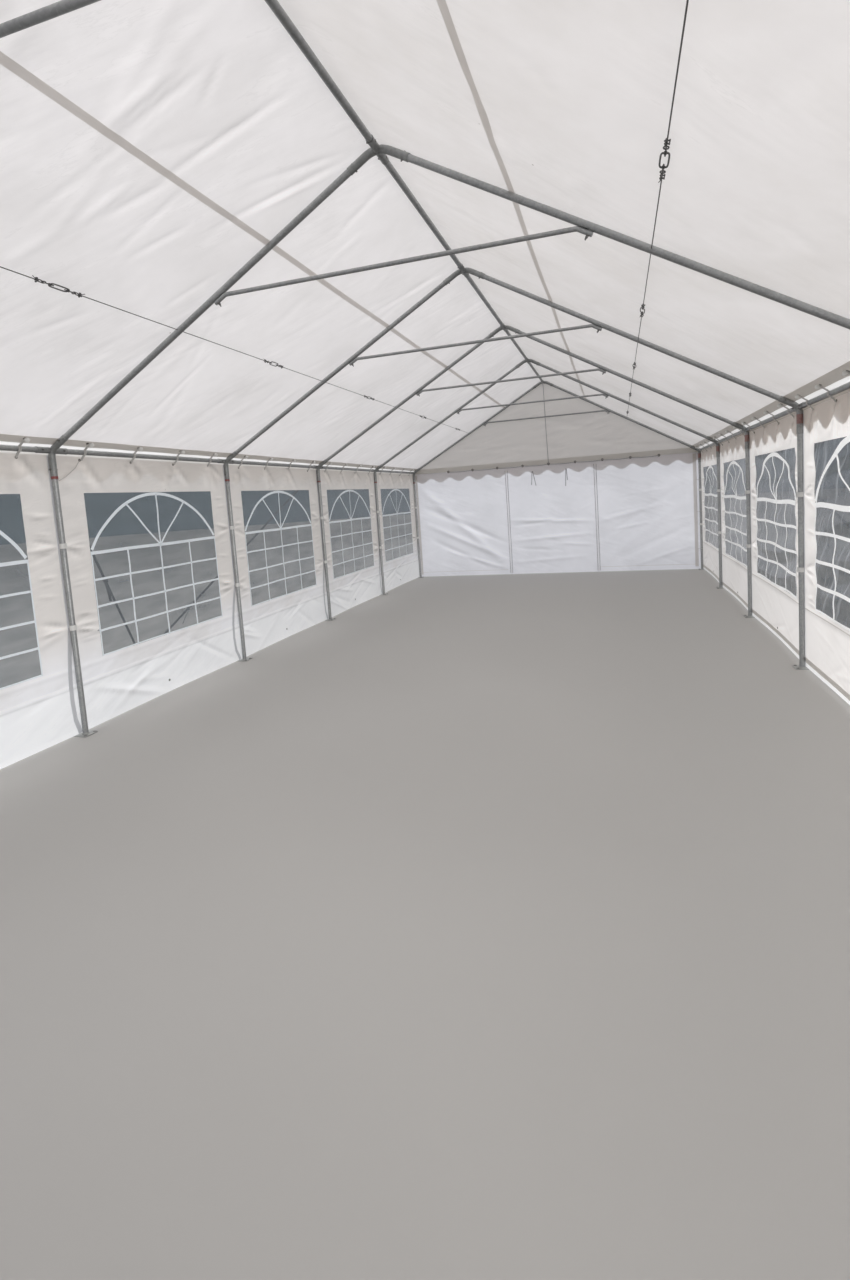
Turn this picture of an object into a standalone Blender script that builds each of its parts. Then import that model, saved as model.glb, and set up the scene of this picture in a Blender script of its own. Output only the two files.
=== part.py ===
"""A 5 m by 12 m party marquee: a galvanised tube frame of seven portals under a
white coated-fabric cover, with window walls, two end walls and storm guys.

Metres, +Z up, the ridge along Y, the origin on the ground under the middle of
the tent. Portal 1 is the front one (lowest Y) and portal 7 the back one.
"""

import math

import bmesh
import bpy
from mathutils import Matrix, Vector

# Overall sizes, between the centre lines of the tubes
TENT_WIDTH = 5.0
BAY_LENGTH = 2.0
BAYS = 6
EAVE_HEIGHT = 2.0
RIDGE_RISE = 1.42

# Frame tubes and their fittings
TUBE_RADIUS = 0.019
SIDES = 12
FIT_GAP = 0.0003
SLEEVE_WALL = 0.0022
ARM_WALL = 0.0026
RAIL_END_INSET = 0.004
PURLIN_SLEEVE = 0.12
POST_SLEEVE = 0.20
EAVE_RAFTER_SLEEVE = 0.155
RIDGE_RAFTER_SLEEVE = 0.20
EAVE_STOP = 0.03
RIDGE_BEND_REACH = 0.08
RIDGE_BEND_STEPS = 6
FOOT_SIDE = 0.115
FOOT_THICKNESS = 0.005

# Collar ties
TIE_RADIUS = 0.0125
TIE_DROP = 0.62
TIE_CRANK_LENGTH = 0.085
TIE_BEND_REACH = 0.02

# Tension wires in the roof planes
WIRE_RADIUS = 0.002
WIRE_DOWN_SLOPE = 0.55
WIRE_HOLE_GAP = 0.0003
WIRE_SIDES = 6
WIRE_TAIL = 0.012
TURNBUCKLE_RADIUS = 0.008
TURNBUCKLE_LENGTH = 0.12
TURNBUCKLE_EYE_RADIUS = 0.004
TURNBUCKLE_EYE_LENGTH = 0.05
TURNBUCKLE_PAST_MIDDLE = 0.12

# Fabric
CLOTH = 0.003
CLOTH_GAP = 0.0004
VALANCE_TIP_DROP = 0.21
VALANCE_VALLEY_DROP = 0.13
SCALLOP_PITCH = 0.35
SCALLOP_STEPS = 4
WALL_TOP_DROP = 0.03
WALL_BOTTOM = 0.012

# Windows in the side walls, one to a bay
WINDOW_WIDTH = 1.49
WINDOW_BOTTOM = 0.50
WINDOW_TOP = 1.71
FILM = 0.001
FILM_OVERLAP = 0.02

# Door in the middle of each end wall
DOOR_WIDTH = 1.55
DOOR_HEAD_DROP = 0.10
ZIP_GAP = 0.0004
ROLL_RADIUS = 0.055
ROLL_SQUASH = 0.8
ROLL_SIDES = 16
ROLL_ABOVE_HEAD = 0.01

# Storm guys, a pair to each side that meet outside the middle of the tent
GUY_PORTALS = (3, 5)
GUY_PEG_OUT = 1.24
GUY_PEG_APART = 0.12
GUY_RADIUS = 0.003
GUY_SIDES = 6
GUY_TOP_DROP = 0.045
GUY_RING_RADIUS = 0.012
GUY_RING_LENGTH = 0.006
GUY_TENSIONER_RADIUS = 0.011
GUY_TENSIONER_LENGTH = 0.10
GUY_TENSIONER_AT = 0.62
PEG_RADIUS = 0.009
PEG_HEIGHT = 0.09
PEG_TIE_HEIGHT = 0.054

# Values that follow from those above
TIE_HEIGHT = EAVE_HEIGHT + RIDGE_RISE - TIE_DROP
VALANCE_TIP = EAVE_HEIGHT - VALANCE_TIP_DROP
VALANCE_VALLEY = EAVE_HEIGHT - VALANCE_VALLEY_DROP
WALL_TOP = EAVE_HEIGHT - WALL_TOP_DROP
DOOR_HEAD = EAVE_HEIGHT - DOOR_HEAD_DROP
GUY_TOP = EAVE_HEIGHT - GUY_TOP_DROP
HALF = TENT_WIDTH / 2
LENGTH = BAY_LENGTH * BAYS
PORTALS = range(1, BAYS + 2)
SLEEVE_RADIUS = TUBE_RADIUS + FIT_GAP + SLEEVE_WALL
ARM_RADIUS = TUBE_RADIUS + FIT_GAP + ARM_WALL
SLOPE = math.atan2(RIDGE_RISE, HALF)
RAFTER_LINE = math.hypot(HALF, RIDGE_RISE)
BEND_RADIUS = RIDGE_BEND_REACH / math.tan(SLOPE)
BEND_CENTRE_Z = EAVE_HEIGHT + RIDGE_RISE - BEND_RADIUS / math.cos(SLOPE)
RIDGE_PURLIN_Z = BEND_CENTRE_Z + BEND_RADIUS
COVER_OFFSET = ARM_RADIUS + CLOTH_GAP
WALL_INNER = ARM_RADIUS + CLOTH_GAP
VALANCE_INNER = WALL_INNER + CLOTH + FILM + 2 * CLOTH_GAP


def portal_y(number):
    return (number - 1) * BAY_LENGTH - LENGTH / 2


def material(name, colour, roughness, metallic=0.0, alpha=1.0):
    made = bpy.data.materials.new(name)
    made.use_nodes = True
    shader = made.node_tree.nodes["Principled BSDF"]
    shader.inputs["Base Color"].default_value = (*colour, 1.0)
    shader.inputs["Roughness"].default_value = roughness
    shader.inputs["Metallic"].default_value = metallic
    shader.inputs["Alpha"].default_value = alpha
    return made


def clear_scene():
    for thing in list(bpy.data.objects):
        bpy.data.objects.remove(thing)


def finish(name, bm, look=None, guide=False):
    """Turn a bmesh into an object, with its normals out and its round sides smooth."""
    bmesh.ops.recalc_face_normals(bm, faces=bm.faces)
    mesh = bpy.data.meshes.new(name)
    bm.to_mesh(mesh)
    bm.free()
    mesh.shade_smooth()
    mesh.set_sharp_from_angle(angle=math.radians(40))
    thing = bpy.data.objects.new(name, mesh)
    bpy.context.scene.collection.objects.link(thing)
    if look:
        mesh.materials.append(look)
    if guide:
        thing.hide_render = True
        thing.display_type = "WIRE"
    return thing


def add_sweep(bm, path, radii, sides, across, squash=1.0):
    """Add a round bar along a path. A vertex of each ring points along across."""
    path = [Vector(point) for point in path]
    across = Vector(across)
    rings = []
    for i, point in enumerate(path):
        before = path[max(i - 1, 0)]
        after = path[min(i + 1, len(path) - 1)]
        along = (after - before).normalized()
        side = (across - across.dot(along) * along).normalized()
        up = along.cross(side)
        ring = []
        for j in range(sides):
            angle = 2 * math.pi * j / sides
            offset = side * math.cos(angle) + up * math.sin(angle) * squash
            ring.append(bm.verts.new(point + offset * radii[i]))
        rings.append(ring)
    for first, second in zip(rings, rings[1:]):
        for j in range(sides):
            k = (j + 1) % sides
            bm.faces.new((first[j], first[k], second[k], second[j]))
    bm.faces.new(rings[0])
    bm.faces.new(rings[-1])


def rod(name, path, radius, across, look=None, guide=False, sides=SIDES):
    bm = bmesh.new()
    add_sweep(bm, path, [radius] * len(path), sides, across)
    return finish(name, bm, look, guide)


def box_mesh(low, high):
    bm = bmesh.new()
    middle = [(a + b) / 2 for a, b in zip(low, high)]
    size = [b - a for a, b in zip(low, high)]
    placed = Matrix.Translation(middle) @ Matrix.Diagonal((*size, 1.0))
    bmesh.ops.create_cube(bm, size=1.0, matrix=placed)
    return bm


def plate_from_outline(name, outline, place, depth, look):
    """Make a flat sheet: an outline in its own plane, put in place and given depth."""
    bm = bmesh.new()
    face = bm.faces.new([bm.verts.new(place(u, v)) for u, v in outline])
    grown = bmesh.ops.extrude_face_region(bm, geom=[face])
    moved = [item for item in grown["geom"] if isinstance(item, bmesh.types.BMVert)]
    bmesh.ops.translate(bm, verts=moved, vec=depth)
    return finish(name, bm, look)


def combine(thing, others, operation):
    """Join others to an object, or cut them out of it, by one Boolean."""
    group = bpy.data.collections.new(thing.name + "_" + operation.lower())
    bpy.context.scene.collection.children.link(group)
    for other in others:
        bpy.context.scene.collection.objects.unlink(other)
        group.objects.link(other)
    step = thing.modifiers.new(operation.title(), "BOOLEAN")
    step.operation = operation
    step.operand_type = "COLLECTION"
    step.collection = group
    step.solver = "EXACT"


def slope_direction(side):
    """The way down a rafter on one side, -1 for left and 1 for right."""
    return Vector((side * math.cos(SLOPE), 0, -math.sin(SLOPE)))


def slope_normal(side):
    return Vector((side * math.sin(SLOPE), 0, math.cos(SLOPE)))


def ridge_point(y):
    return Vector((0, y, EAVE_HEIGHT + RIDGE_RISE))


def eave_point(side, y):
    return Vector((side * HALF, y, EAVE_HEIGHT))


def make_posts(look):
    """Fourteen posts, each standing on a square foot plate that is welded to it."""
    for side, word in ((-1, "left"), (1, "right")):
        for number in PORTALS:
            y = portal_y(number)
            foot = (side * HALF, y, 0)
            half_foot = FOOT_SIDE / 2
            low = (foot[0] - half_foot, y - half_foot, 0)
            high = (foot[0] + half_foot, y + half_foot, FOOT_THICKNESS)
            post = finish(f"post_{word}_{number}", box_mesh(low, high), look)
            inside_plate = FOOT_THICKNESS / 2
            path = [
                (foot[0], y, inside_plate),
                (foot[0], y, EAVE_HEIGHT - EAVE_STOP - FIT_GAP),
            ]
            tube = rod(f"post_tube_{word}_{number}", path, TUBE_RADIUS, (1, 0, 0), guide=True)
            combine(post, [tube], "UNION")


def make_rafters(look):
    """Fourteen rafters, each with a hole that the roof wire runs through."""
    for side, word in ((-1, "left"), (1, "right")):
        down = slope_direction(side)
        for number in PORTALS:
            y = portal_y(number)
            top = ridge_point(y) + down * (RIDGE_BEND_REACH + FIT_GAP)
            bottom = ridge_point(y) + down * (RAFTER_LINE - EAVE_STOP - FIT_GAP)
            rafter = rod(f"rafter_{word}_{number}", [top, bottom], TUBE_RADIUS, (0, 1, 0), look)
            centre = ridge_point(y) + down * (RAFTER_LINE * WIRE_DOWN_SLOPE)
            reach = Vector((0, 2 * TUBE_RADIUS, 0))
            hole = rod(
                f"wire_hole_{word}_{number}",
                [centre - reach, centre + reach],
                WIRE_RADIUS + WIRE_HOLE_GAP,
                (1, 0, 0),
                guide=True,
                sides=WIRE_SIDES,
            )
            combine(rafter, [hole], "DIFFERENCE")


def make_ties(look):
    """Seven collar ties, whose cranked ends lie along the undersides of the rafters."""
    beneath = TUBE_RADIUS + TIE_RADIUS + FIT_GAP
    for number in PORTALS:
        y = portal_y(number)
        halves = []
        for side in (-1, 1):
            down = slope_direction(side)
            # The distance down the slope at which the line under the rafter has the tie's height
            start = ridge_point(y) - slope_normal(side) * beneath
            along = (start.z - TIE_HEIGHT) / math.sin(SLOPE)
            corner = start + down * along
            inward = Vector((-side, 0, 0))
            halves.append(
                [
                    corner + inward * TIE_BEND_REACH,
                    corner + down * TIE_BEND_REACH,
                    corner + down * TIE_CRANK_LENGTH,
                ]
            )
        path = list(reversed(halves[0])) + halves[1]
        rod(f"collar_tie_{number}", path, TIE_RADIUS, (0, 1, 0), look)


def bent_ridge_path(y):
    """The centre line of a ridge fitting: straight, bent over the ridge, straight."""
    left = ridge_point(y) + slope_direction(-1) * RIDGE_RAFTER_SLEEVE
    right = ridge_point(y) + slope_direction(1) * RIDGE_RAFTER_SLEEVE
    centre = Vector((0, y, BEND_CENTRE_Z))
    path = [left]
    for step in range(RIDGE_BEND_STEPS + 1):
        angle = -SLOPE + 2 * SLOPE * step / RIDGE_BEND_STEPS
        path.append(centre + Vector((math.sin(angle), 0, math.cos(angle))) * BEND_RADIUS)
    path.append(right)
    return path


def sleeve_span(number):
    """Where a purlin sleeve starts and ends along Y. An end portal has it on one side."""
    y = portal_y(number)
    front = y + (RAIL_END_INSET if number == PORTALS[0] else -PURLIN_SLEEVE)
    back = y + (-RAIL_END_INSET if number == PORTALS[-1] else PURLIN_SLEEVE)
    return front, back


def purlin_sleeves(prefix, x, z):
    sleeves = []
    for number in PORTALS:
        front, back = sleeve_span(number)
        ends = [(x, front, z), (x, back, z)]
        name = f"{prefix}_sleeve_{number}"
        sleeves.append(rod(name, ends, SLEEVE_RADIUS, (1, 0, 0), guide=True))
    return sleeves


def make_ridge_rail(look):
    """Ridge purlins joined end to end by seven ridge fittings with rafter sockets."""
    reach = LENGTH / 2 - 2 * RAIL_END_INSET
    ends = [(0, -reach, RIDGE_PURLIN_Z), (0, reach, RIDGE_PURLIN_Z)]
    rail = rod("ridge_rail", ends, TUBE_RADIUS, (1, 0, 0), look)
    joined = purlin_sleeves("ridge", 0, RIDGE_PURLIN_Z)
    bores = []
    for number in PORTALS:
        y = portal_y(number)
        path = bent_ridge_path(y)
        joined.append(rod(f"ridge_bend_{number}", path, ARM_RADIUS, (0, 1, 0), guide=True))
        for side in (-1, 1):
            down = slope_direction(side)
            start = ridge_point(y) + down * RIDGE_BEND_REACH
            end = ridge_point(y) + down * (RIDGE_RAFTER_SLEEVE + SLEEVE_RADIUS)
            name = f"ridge_bore_{number}_{side + 1}"
            bores.append(rod(name, [start, end], TUBE_RADIUS + FIT_GAP, (0, 1, 0), guide=True))
    combine(rail, joined, "UNION")
    combine(rail, bores, "DIFFERENCE")


def make_eave_rails(look):
    """Eave purlins of each side joined by fittings with post and rafter sockets."""
    for side, word in ((-1, "left"), (1, "right")):
        x = side * HALF
        run = LENGTH / 2 - 2 * RAIL_END_INSET
        ends = [(x, -run, EAVE_HEIGHT), (x, run, EAVE_HEIGHT)]
        rail = rod(f"eave_rail_{word}", ends, TUBE_RADIUS, (1, 0, 0), look)
        joined = purlin_sleeves(f"eave_{word}", x, EAVE_HEIGHT)
        bores = []
        up_slope = -slope_direction(side)
        for number in PORTALS:
            y = portal_y(number)
            joint = eave_point(side, y)
            arms = (
                ("post", Vector((0, 0, -1)), POST_SLEEVE, (1, 0, 0)),
                ("rafter", up_slope, EAVE_RAFTER_SLEEVE, (0, 1, 0)),
            )
            for kind, way, reach, across in arms:
                name = f"eave_{kind}_{word}_{number}"
                outer = [joint, joint + way * reach]
                joined.append(rod(name, outer, ARM_RADIUS, across, guide=True))
                inner = [joint + way * EAVE_STOP, joint + way * (reach + SLEEVE_RADIUS)]
                bore = rod(name + "_bore", inner, TUBE_RADIUS + FIT_GAP, across, guide=True)
                bores.append(bore)
        combine(rail, joined, "UNION")
        combine(rail, bores, "DIFFERENCE")


def make_wires(look):
    """A wire through all the rafters of each slope, with a turnbuckle in each bay."""
    half_body = TURNBUCKLE_LENGTH / 2
    half_eye = half_body + TURNBUCKLE_EYE_LENGTH
    for side, word in ((-1, "left"), (1, "right")):
        centre = ridge_point(0) + slope_direction(side) * (RAFTER_LINE * WIRE_DOWN_SLOPE)
        end = LENGTH / 2 + TUBE_RADIUS + WIRE_TAIL / 2
        stations = [(-end, WIRE_RADIUS)]
        for number in PORTALS[:-1]:
            middle = portal_y(number) + BAY_LENGTH / 2 + TURNBUCKLE_PAST_MIDDLE
            stations += [
                (middle - half_eye, WIRE_RADIUS),
                (middle - half_eye, TURNBUCKLE_EYE_RADIUS),
                (middle - half_body, TURNBUCKLE_EYE_RADIUS),
                (middle - half_body, TURNBUCKLE_RADIUS),
                (middle + half_body, TURNBUCKLE_RADIUS),
                (middle + half_body, TURNBUCKLE_EYE_RADIUS),
                (middle + half_eye, TURNBUCKLE_EYE_RADIUS),
                (middle + half_eye, WIRE_RADIUS),
            ]
        stations.append((end, WIRE_RADIUS))
        bm = bmesh.new()
        add_turned(bm, centre, Vector((0, 1, 0)), stations, WIRE_SIDES, (1, 0, 0))
        finish(f"roof_wire_{word}", bm, look)


def add_turned(bm, base, along, stations, sides, across):
    """Add a turned shape: rings of the radii given at the distances given along an axis."""
    side = Vector(across)
    side = (side - side.dot(along) * along).normalized()
    up = along.cross(side)
    rings = []
    for distance, radius in stations:
        centre = base + along * distance
        ring = []
        for j in range(sides):
            angle = 2 * math.pi * j / sides
            offset = side * math.cos(angle) + up * math.sin(angle)
            ring.append(bm.verts.new(centre + offset * radius))
        rings.append(ring)
    for first, second in zip(rings, rings[1:]):
        for j in range(sides):
            k = (j + 1) % sides
            bm.faces.new((first[j], first[k], second[k], second[j]))
    bm.faces.new(rings[0])
    bm.faces.new(rings[-1])


def scallop_heights(length):
    """(distance, height) along a valance's lower edge, with whole scallops over its length."""
    count = max(round(length / SCALLOP_PITCH), 1)
    steps = count * SCALLOP_STEPS
    points = []
    for step in range(steps + 1):
        wave = abs(math.sin(math.pi * step / SCALLOP_STEPS))
        height = VALANCE_VALLEY + (VALANCE_TIP - VALANCE_VALLEY) * wave
        points.append((length * step / steps, height))
    return points


def cover_section(offset, drop_x, bottom):
    """Half of the cover's cross-section, from the ridge to the valance's lower edge."""
    points = []
    half_steps = RIDGE_BEND_STEPS // 2
    for step in range(half_steps + 1):
        angle = SLOPE * step / half_steps
        radius = BEND_RADIUS + offset
        points.append((math.sin(angle) * radius, BEND_CENTRE_Z + math.cos(angle) * radius))
    # The slope meets the valance's plane
    last_x, last_z = points[-1]
    points.append((drop_x, last_z - (drop_x - last_x) * math.tan(SLOPE)))
    points.append((drop_x, bottom))
    return points


def make_roof_cover(look):
    """The roof sheet: two slopes over a rounded ridge, and a scalloped valance each side."""
    inner_x = HALF + VALANCE_INNER
    outer_x = inner_x + CLOTH
    half_length = LENGTH / 2 + VALANCE_INNER + CLOTH
    bm = bmesh.new()
    rings = []
    for distance, bottom in scallop_heights(2 * half_length):
        y = distance - half_length
        outer = cover_section(COVER_OFFSET + CLOTH, outer_x, bottom)
        inner = cover_section(COVER_OFFSET, inner_x, bottom)
        right = [(x, z) for x, z in outer] + [(x, z) for x, z in reversed(inner)]
        left = [(-x, z) for x, z in inner[1:]] + [(-x, z) for x, z in reversed(outer[1:])]
        rings.append([bm.verts.new((x, y, z)) for x, z in right + left])
    count = len(rings[0])
    for first, second in zip(rings, rings[1:]):
        for j in range(count):
            k = (j + 1) % count
            bm.faces.new((first[j], first[k], second[k], second[j]))
    steps = RIDGE_BEND_STEPS // 2 + 2
    for ring in (rings[0], rings[-1]):
        # Each end is a strip of faces between the outer and the inner line
        outer = ring[: steps + 1]
        inner = ring[steps + 1 : 2 * steps + 2][::-1]
        for j in range(steps):
            bm.faces.new((outer[j], outer[j + 1], inner[j + 1], inner[j]))
        inner_left = [inner[0]] + ring[2 * steps + 2 : 3 * steps + 2]
        outer_left = [outer[0]] + ring[3 * steps + 2 :][::-1]
        for j in range(steps):
            bm.faces.new((outer_left[j], outer_left[j + 1], inner_left[j + 1], inner_left[j]))
    finish("roof_cover", bm, look)


def make_gable_panels(look):
    """The triangle of cloth that closes each end above the end wall, with its valance."""
    reach = HALF + VALANCE_INNER - CLOTH_GAP
    top = cover_section(COVER_OFFSET - CLOTH_GAP, reach, EAVE_HEIGHT)[:-1]
    outline = [(x, z) for x, z in reversed(top)]
    outline += [(-x, z) for x, z in top[1:]]
    lower = [(u - reach, v) for u, v in scallop_heights(2 * reach)]
    outline += lower
    for side, word in ((-1, "front"), (1, "back")):
        y = side * (LENGTH / 2 + VALANCE_INNER)
        plate_from_outline(
            f"gable_panel_{word}",
            outline,
            lambda u, v, y=y: Vector((u, y, v)),
            Vector((0, side * CLOTH, 0)),
            look,
        )


def make_side_walls(look, film_look):
    """A wall of cloth along each side with a window cut in each bay, and its clear film."""
    half_length = LENGTH / 2 + WALL_INNER + CLOTH
    for side, word in ((-1, "left"), (1, "right")):
        near = side * (HALF + WALL_INNER)
        far = near + side * CLOTH
        low_x, high_x = sorted((near, far))
        low = (low_x, -half_length, WALL_BOTTOM)
        high = (high_x, half_length, WALL_TOP)
        wall = finish(f"side_wall_{word}", box_mesh(low, high), look)
        cutters = []
        for number in PORTALS[:-1]:
            middle = portal_y(number) + BAY_LENGTH / 2
            cut_low = (low_x - CLOTH, middle - WINDOW_WIDTH / 2, WINDOW_BOTTOM)
            cut_high = (high_x + CLOTH, middle + WINDOW_WIDTH / 2, WINDOW_TOP)
            name = f"window_cutter_{word}_{number}"
            cutters.append(finish(name, box_mesh(cut_low, cut_high), guide=True))
        combine(wall, cutters, "DIFFERENCE")
        film_near = far + side * CLOTH_GAP
        film_far = film_near + side * FILM
        low_x, high_x = sorted((film_near, film_far))
        reach = LENGTH / 2 - (BAY_LENGTH - WINDOW_WIDTH) / 2 + FILM_OVERLAP
        low = (low_x, -reach, WINDOW_BOTTOM - FILM_OVERLAP)
        high = (high_x, reach, WINDOW_TOP + FILM_OVERLAP)
        finish(f"window_film_{word}", box_mesh(low, high), film_look)


def make_end_walls(look):
    """A wall of cloth across each end, cut away for its doorway, and the door itself."""
    reach = HALF + WALL_INNER - CLOTH_GAP
    half_door = DOOR_WIDTH / 2
    outline = [
        (-reach, WALL_BOTTOM),
        (-half_door, WALL_BOTTOM),
        (-half_door, DOOR_HEAD),
        (half_door, DOOR_HEAD),
        (half_door, WALL_BOTTOM),
        (reach, WALL_BOTTOM),
        (reach, WALL_TOP),
        (-reach, WALL_TOP),
    ]
    for side, word in ((-1, "front"), (1, "back")):
        y = side * (LENGTH / 2 + WALL_INNER)
        plate_from_outline(
            f"end_wall_{word}",
            outline,
            lambda u, v, y=y: Vector((u, y, v)),
            Vector((0, side * CLOTH, 0)),
            look,
        )
    # The back door is zipped shut
    y = LENGTH / 2 + WALL_INNER
    low = (-half_door + ZIP_GAP, y, WALL_BOTTOM)
    high = (half_door - ZIP_GAP, y + CLOTH, DOOR_HEAD - ZIP_GAP)
    finish("end_door_back", box_mesh(low, high), look)
    # The front door is rolled up and tied inside, under the head of its doorway
    y = ROLL_RADIUS + CLOTH_GAP - (LENGTH / 2 + WALL_INNER)
    z = DOOR_HEAD + ROLL_ABOVE_HEAD
    half_roll = half_door - ZIP_GAP
    bm = bmesh.new()
    ends = [(-half_roll, y, z), (half_roll, y, z)]
    add_sweep(bm, ends, [ROLL_RADIUS] * 2, ROLL_SIDES, (0, 1, 0), ROLL_SQUASH)
    finish("end_door_front", bm, look)


def make_guys(look):
    """Storm guys from rings on the cover's edge down to steel pegs, two to a side."""
    for side, word in ((-1, "left"), (1, "right")):
        start_x = side * (HALF + VALANCE_INNER + CLOTH + CLOTH_GAP)
        for index, number in enumerate(GUY_PORTALS):
            toward = 1 if index else -1
            top = Vector((start_x, portal_y(number), GUY_TOP))
            peg_y = portal_y(4) + toward * GUY_PEG_APART / 2
            foot = Vector((side * (HALF + GUY_PEG_OUT), peg_y, PEG_TIE_HEIGHT))
            ring_end = top + Vector((side * GUY_RING_LENGTH, 0, 0))
            line = foot - ring_end
            length = line.length
            along = line.normalized()
            half = GUY_TENSIONER_LENGTH / 2
            at = length * GUY_TENSIONER_AT
            stations = [
                (0, GUY_RADIUS),
                (at - half, GUY_RADIUS),
                (at - half, GUY_TENSIONER_RADIUS),
                (at + half, GUY_TENSIONER_RADIUS),
                (at + half, GUY_RADIUS),
                (length, GUY_RADIUS),
            ]
            bm = bmesh.new()
            add_turned(bm, ring_end, along, stations, GUY_SIDES, (0, 0, 1))
            guy = finish(f"guy_rope_{word}_{index + 1}", bm, look)
            ring = rod(
                f"guy_ring_{word}_{index + 1}",
                [top, ring_end + Vector((side * GUY_RADIUS, 0, 0))],
                GUY_RING_RADIUS,
                (0, 0, 1),
                guide=True,
            )
            peg = rod(
                f"guy_peg_{word}_{index + 1}",
                [(foot.x, foot.y, 0), (foot.x, foot.y, PEG_HEIGHT)],
                PEG_RADIUS,
                (1, 0, 0),
                guide=True,
            )
            combine(guy, [ring, peg], "UNION")


clear_scene()
galvanised = material("galvanised_tube", (0.42, 0.44, 0.45), 0.42, 0.9)
sheet = material("white_coated_fabric", (0.83, 0.82, 0.80), 0.55)
film = material("clear_window_film", (0.80, 0.84, 0.86), 0.12, 0.0, 0.35)
cord = material("guy_webbing", (0.30, 0.30, 0.31), 0.8)
steel = material("wire_and_turnbuckle", (0.50, 0.51, 0.52), 0.35, 1.0)

make_posts(galvanised)
make_rafters(galvanised)
make_ties(galvanised)
make_ridge_rail(galvanised)
make_eave_rails(galvanised)
make_wires(steel)
make_roof_cover(sheet)
make_gable_panels(sheet)
make_side_walls(sheet, film)
make_end_walls(sheet)
make_guys(cord)
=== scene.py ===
import math
import random
from functools import partial

import bmesh
import bpy
import numpy as np
from mathutils import Matrix, Vector


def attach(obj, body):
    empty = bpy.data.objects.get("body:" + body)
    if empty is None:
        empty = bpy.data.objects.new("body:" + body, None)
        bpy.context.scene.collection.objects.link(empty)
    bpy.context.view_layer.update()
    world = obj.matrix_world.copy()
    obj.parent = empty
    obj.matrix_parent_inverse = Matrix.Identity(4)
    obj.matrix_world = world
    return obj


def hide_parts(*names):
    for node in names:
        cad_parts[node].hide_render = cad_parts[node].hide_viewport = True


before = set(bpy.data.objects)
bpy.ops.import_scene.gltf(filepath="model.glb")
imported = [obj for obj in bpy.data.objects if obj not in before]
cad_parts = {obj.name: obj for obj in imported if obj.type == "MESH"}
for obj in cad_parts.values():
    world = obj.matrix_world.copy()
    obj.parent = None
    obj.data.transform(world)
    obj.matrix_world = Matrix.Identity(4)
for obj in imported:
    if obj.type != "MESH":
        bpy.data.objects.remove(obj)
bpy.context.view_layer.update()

# Studio
# The camera stands inside the front bay, at head height, as in the photograph.
# A pale floor lies under the tent, in the even light of a white room.
CAMERA_PLACE = (1.173, -5.390, 1.504)
CAMERA_YAW, CAMERA_PITCH, CAMERA_ROLL = (math.radians(a) for a in (17.356, -5.453, -3.845))
FLOOR_RADIUS = 60.0


def add_object(name, data):
    made = bpy.data.objects.new(name, data)
    bpy.context.scene.collection.objects.link(made)
    return made


def fill(tree, made, inputs):
    """Give each of a node's sockets a value, or another node's socket."""
    for socket, value in dict(inputs).items():
        if isinstance(value, bpy.types.NodeSocket):
            tree.links.new(value, made.inputs[socket])
        else:
            made.inputs[socket].default_value = value
    return made


def node(tree, kind, inputs=(), **settings):
    """Add a shader node with its settings and inputs."""
    made = tree.nodes.new("ShaderNode" + kind)
    for setting, value in settings.items():
        setattr(made, setting, value)
    return fill(tree, made, inputs)


def surface(name):
    """Start a material. Returns it with its node tree and its shader."""
    made = bpy.data.materials.new(name)
    made.use_nodes = True
    return made, made.node_tree, made.node_tree.nodes["Principled BSDF"]


camera_data = bpy.data.cameras.new("camera")
camera_data.lens = 17.584
camera_data.sensor_width = 36.0
camera_data.shift_y = -0.0637
camera_data.clip_start = 0.02
camera_data.clip_end = 300.0
camera = add_object("camera", camera_data)
bpy.context.scene.camera = camera
level = Vector((math.cos(CAMERA_YAW), math.sin(CAMERA_YAW), 0))
ahead = Vector((-math.sin(CAMERA_YAW), math.cos(CAMERA_YAW), math.tan(CAMERA_PITCH))).normalized()
sideways = level * math.cos(CAMERA_ROLL) + level.cross(ahead) * math.sin(CAMERA_ROLL)
turned = Matrix((sideways, sideways.cross(ahead), -ahead)).transposed().to_4x4()
camera.matrix_world = Matrix.Translation(CAMERA_PLACE) @ turned

world = bpy.data.worlds.new("white_room")
world.use_nodes = True
room = world.node_tree
light = fill(room, room.nodes["Background"], {"Color": (0.97, 0.98, 1.0, 1.0), "Strength": 0.60})
backdrop = node(room, "Background", {"Color": (0.16, 0.19, 0.21, 1.0)})
camera_ray = node(room, "LightPath").outputs["Is Camera Ray"]
either = node(room, "MixShader", {0: camera_ray, 1: light.outputs[0], 2: backdrop.outputs[0]})
fill(room, room.nodes["World Output"], {"Surface": either.outputs[0]})
bpy.context.scene.world = world
bpy.context.scene.view_settings.view_transform = "Standard"


def soft_light(name, place, aim, size, power, colour):
    """A large square lamp at a place, turned to face a point. The camera doesn't see it."""
    data = bpy.data.lights.new(name, "AREA")
    data.shape = "RECTANGLE"
    data.size, data.size_y = size
    data.energy = power
    data.color = colour
    lamp = add_object(name, data)
    aimed = (Vector(aim) - Vector(place)).to_track_quat("-Z", "Y").to_matrix().to_4x4()
    lamp.matrix_world = Matrix.Translation(place) @ aimed
    lamp.visible_camera = False


soft_light("sky", (-2.5, -1.5, 11.0), (-0.4, -0.8, 2.8), (9.0, 7.0), 430, (1.0, 0.985, 0.98))
soft_light("back", (-1.5, 17.0, 6.0), (0.0, 6.0, 0.9), (4.0, 3.0), 330, (0.93, 0.95, 1.0))
soft_light("left", (-9.0, -8.0, 2.5), (-2.5, -0.5, 0.6), (4.0, 2.0), 320, (0.92, 0.95, 1.0))
soft_light("right", (9.0, -9.0, 1.9), (2.5, -1.0, 1.0), (4.0, 2.5), 840, (1.0, 0.985, 0.97))

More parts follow.
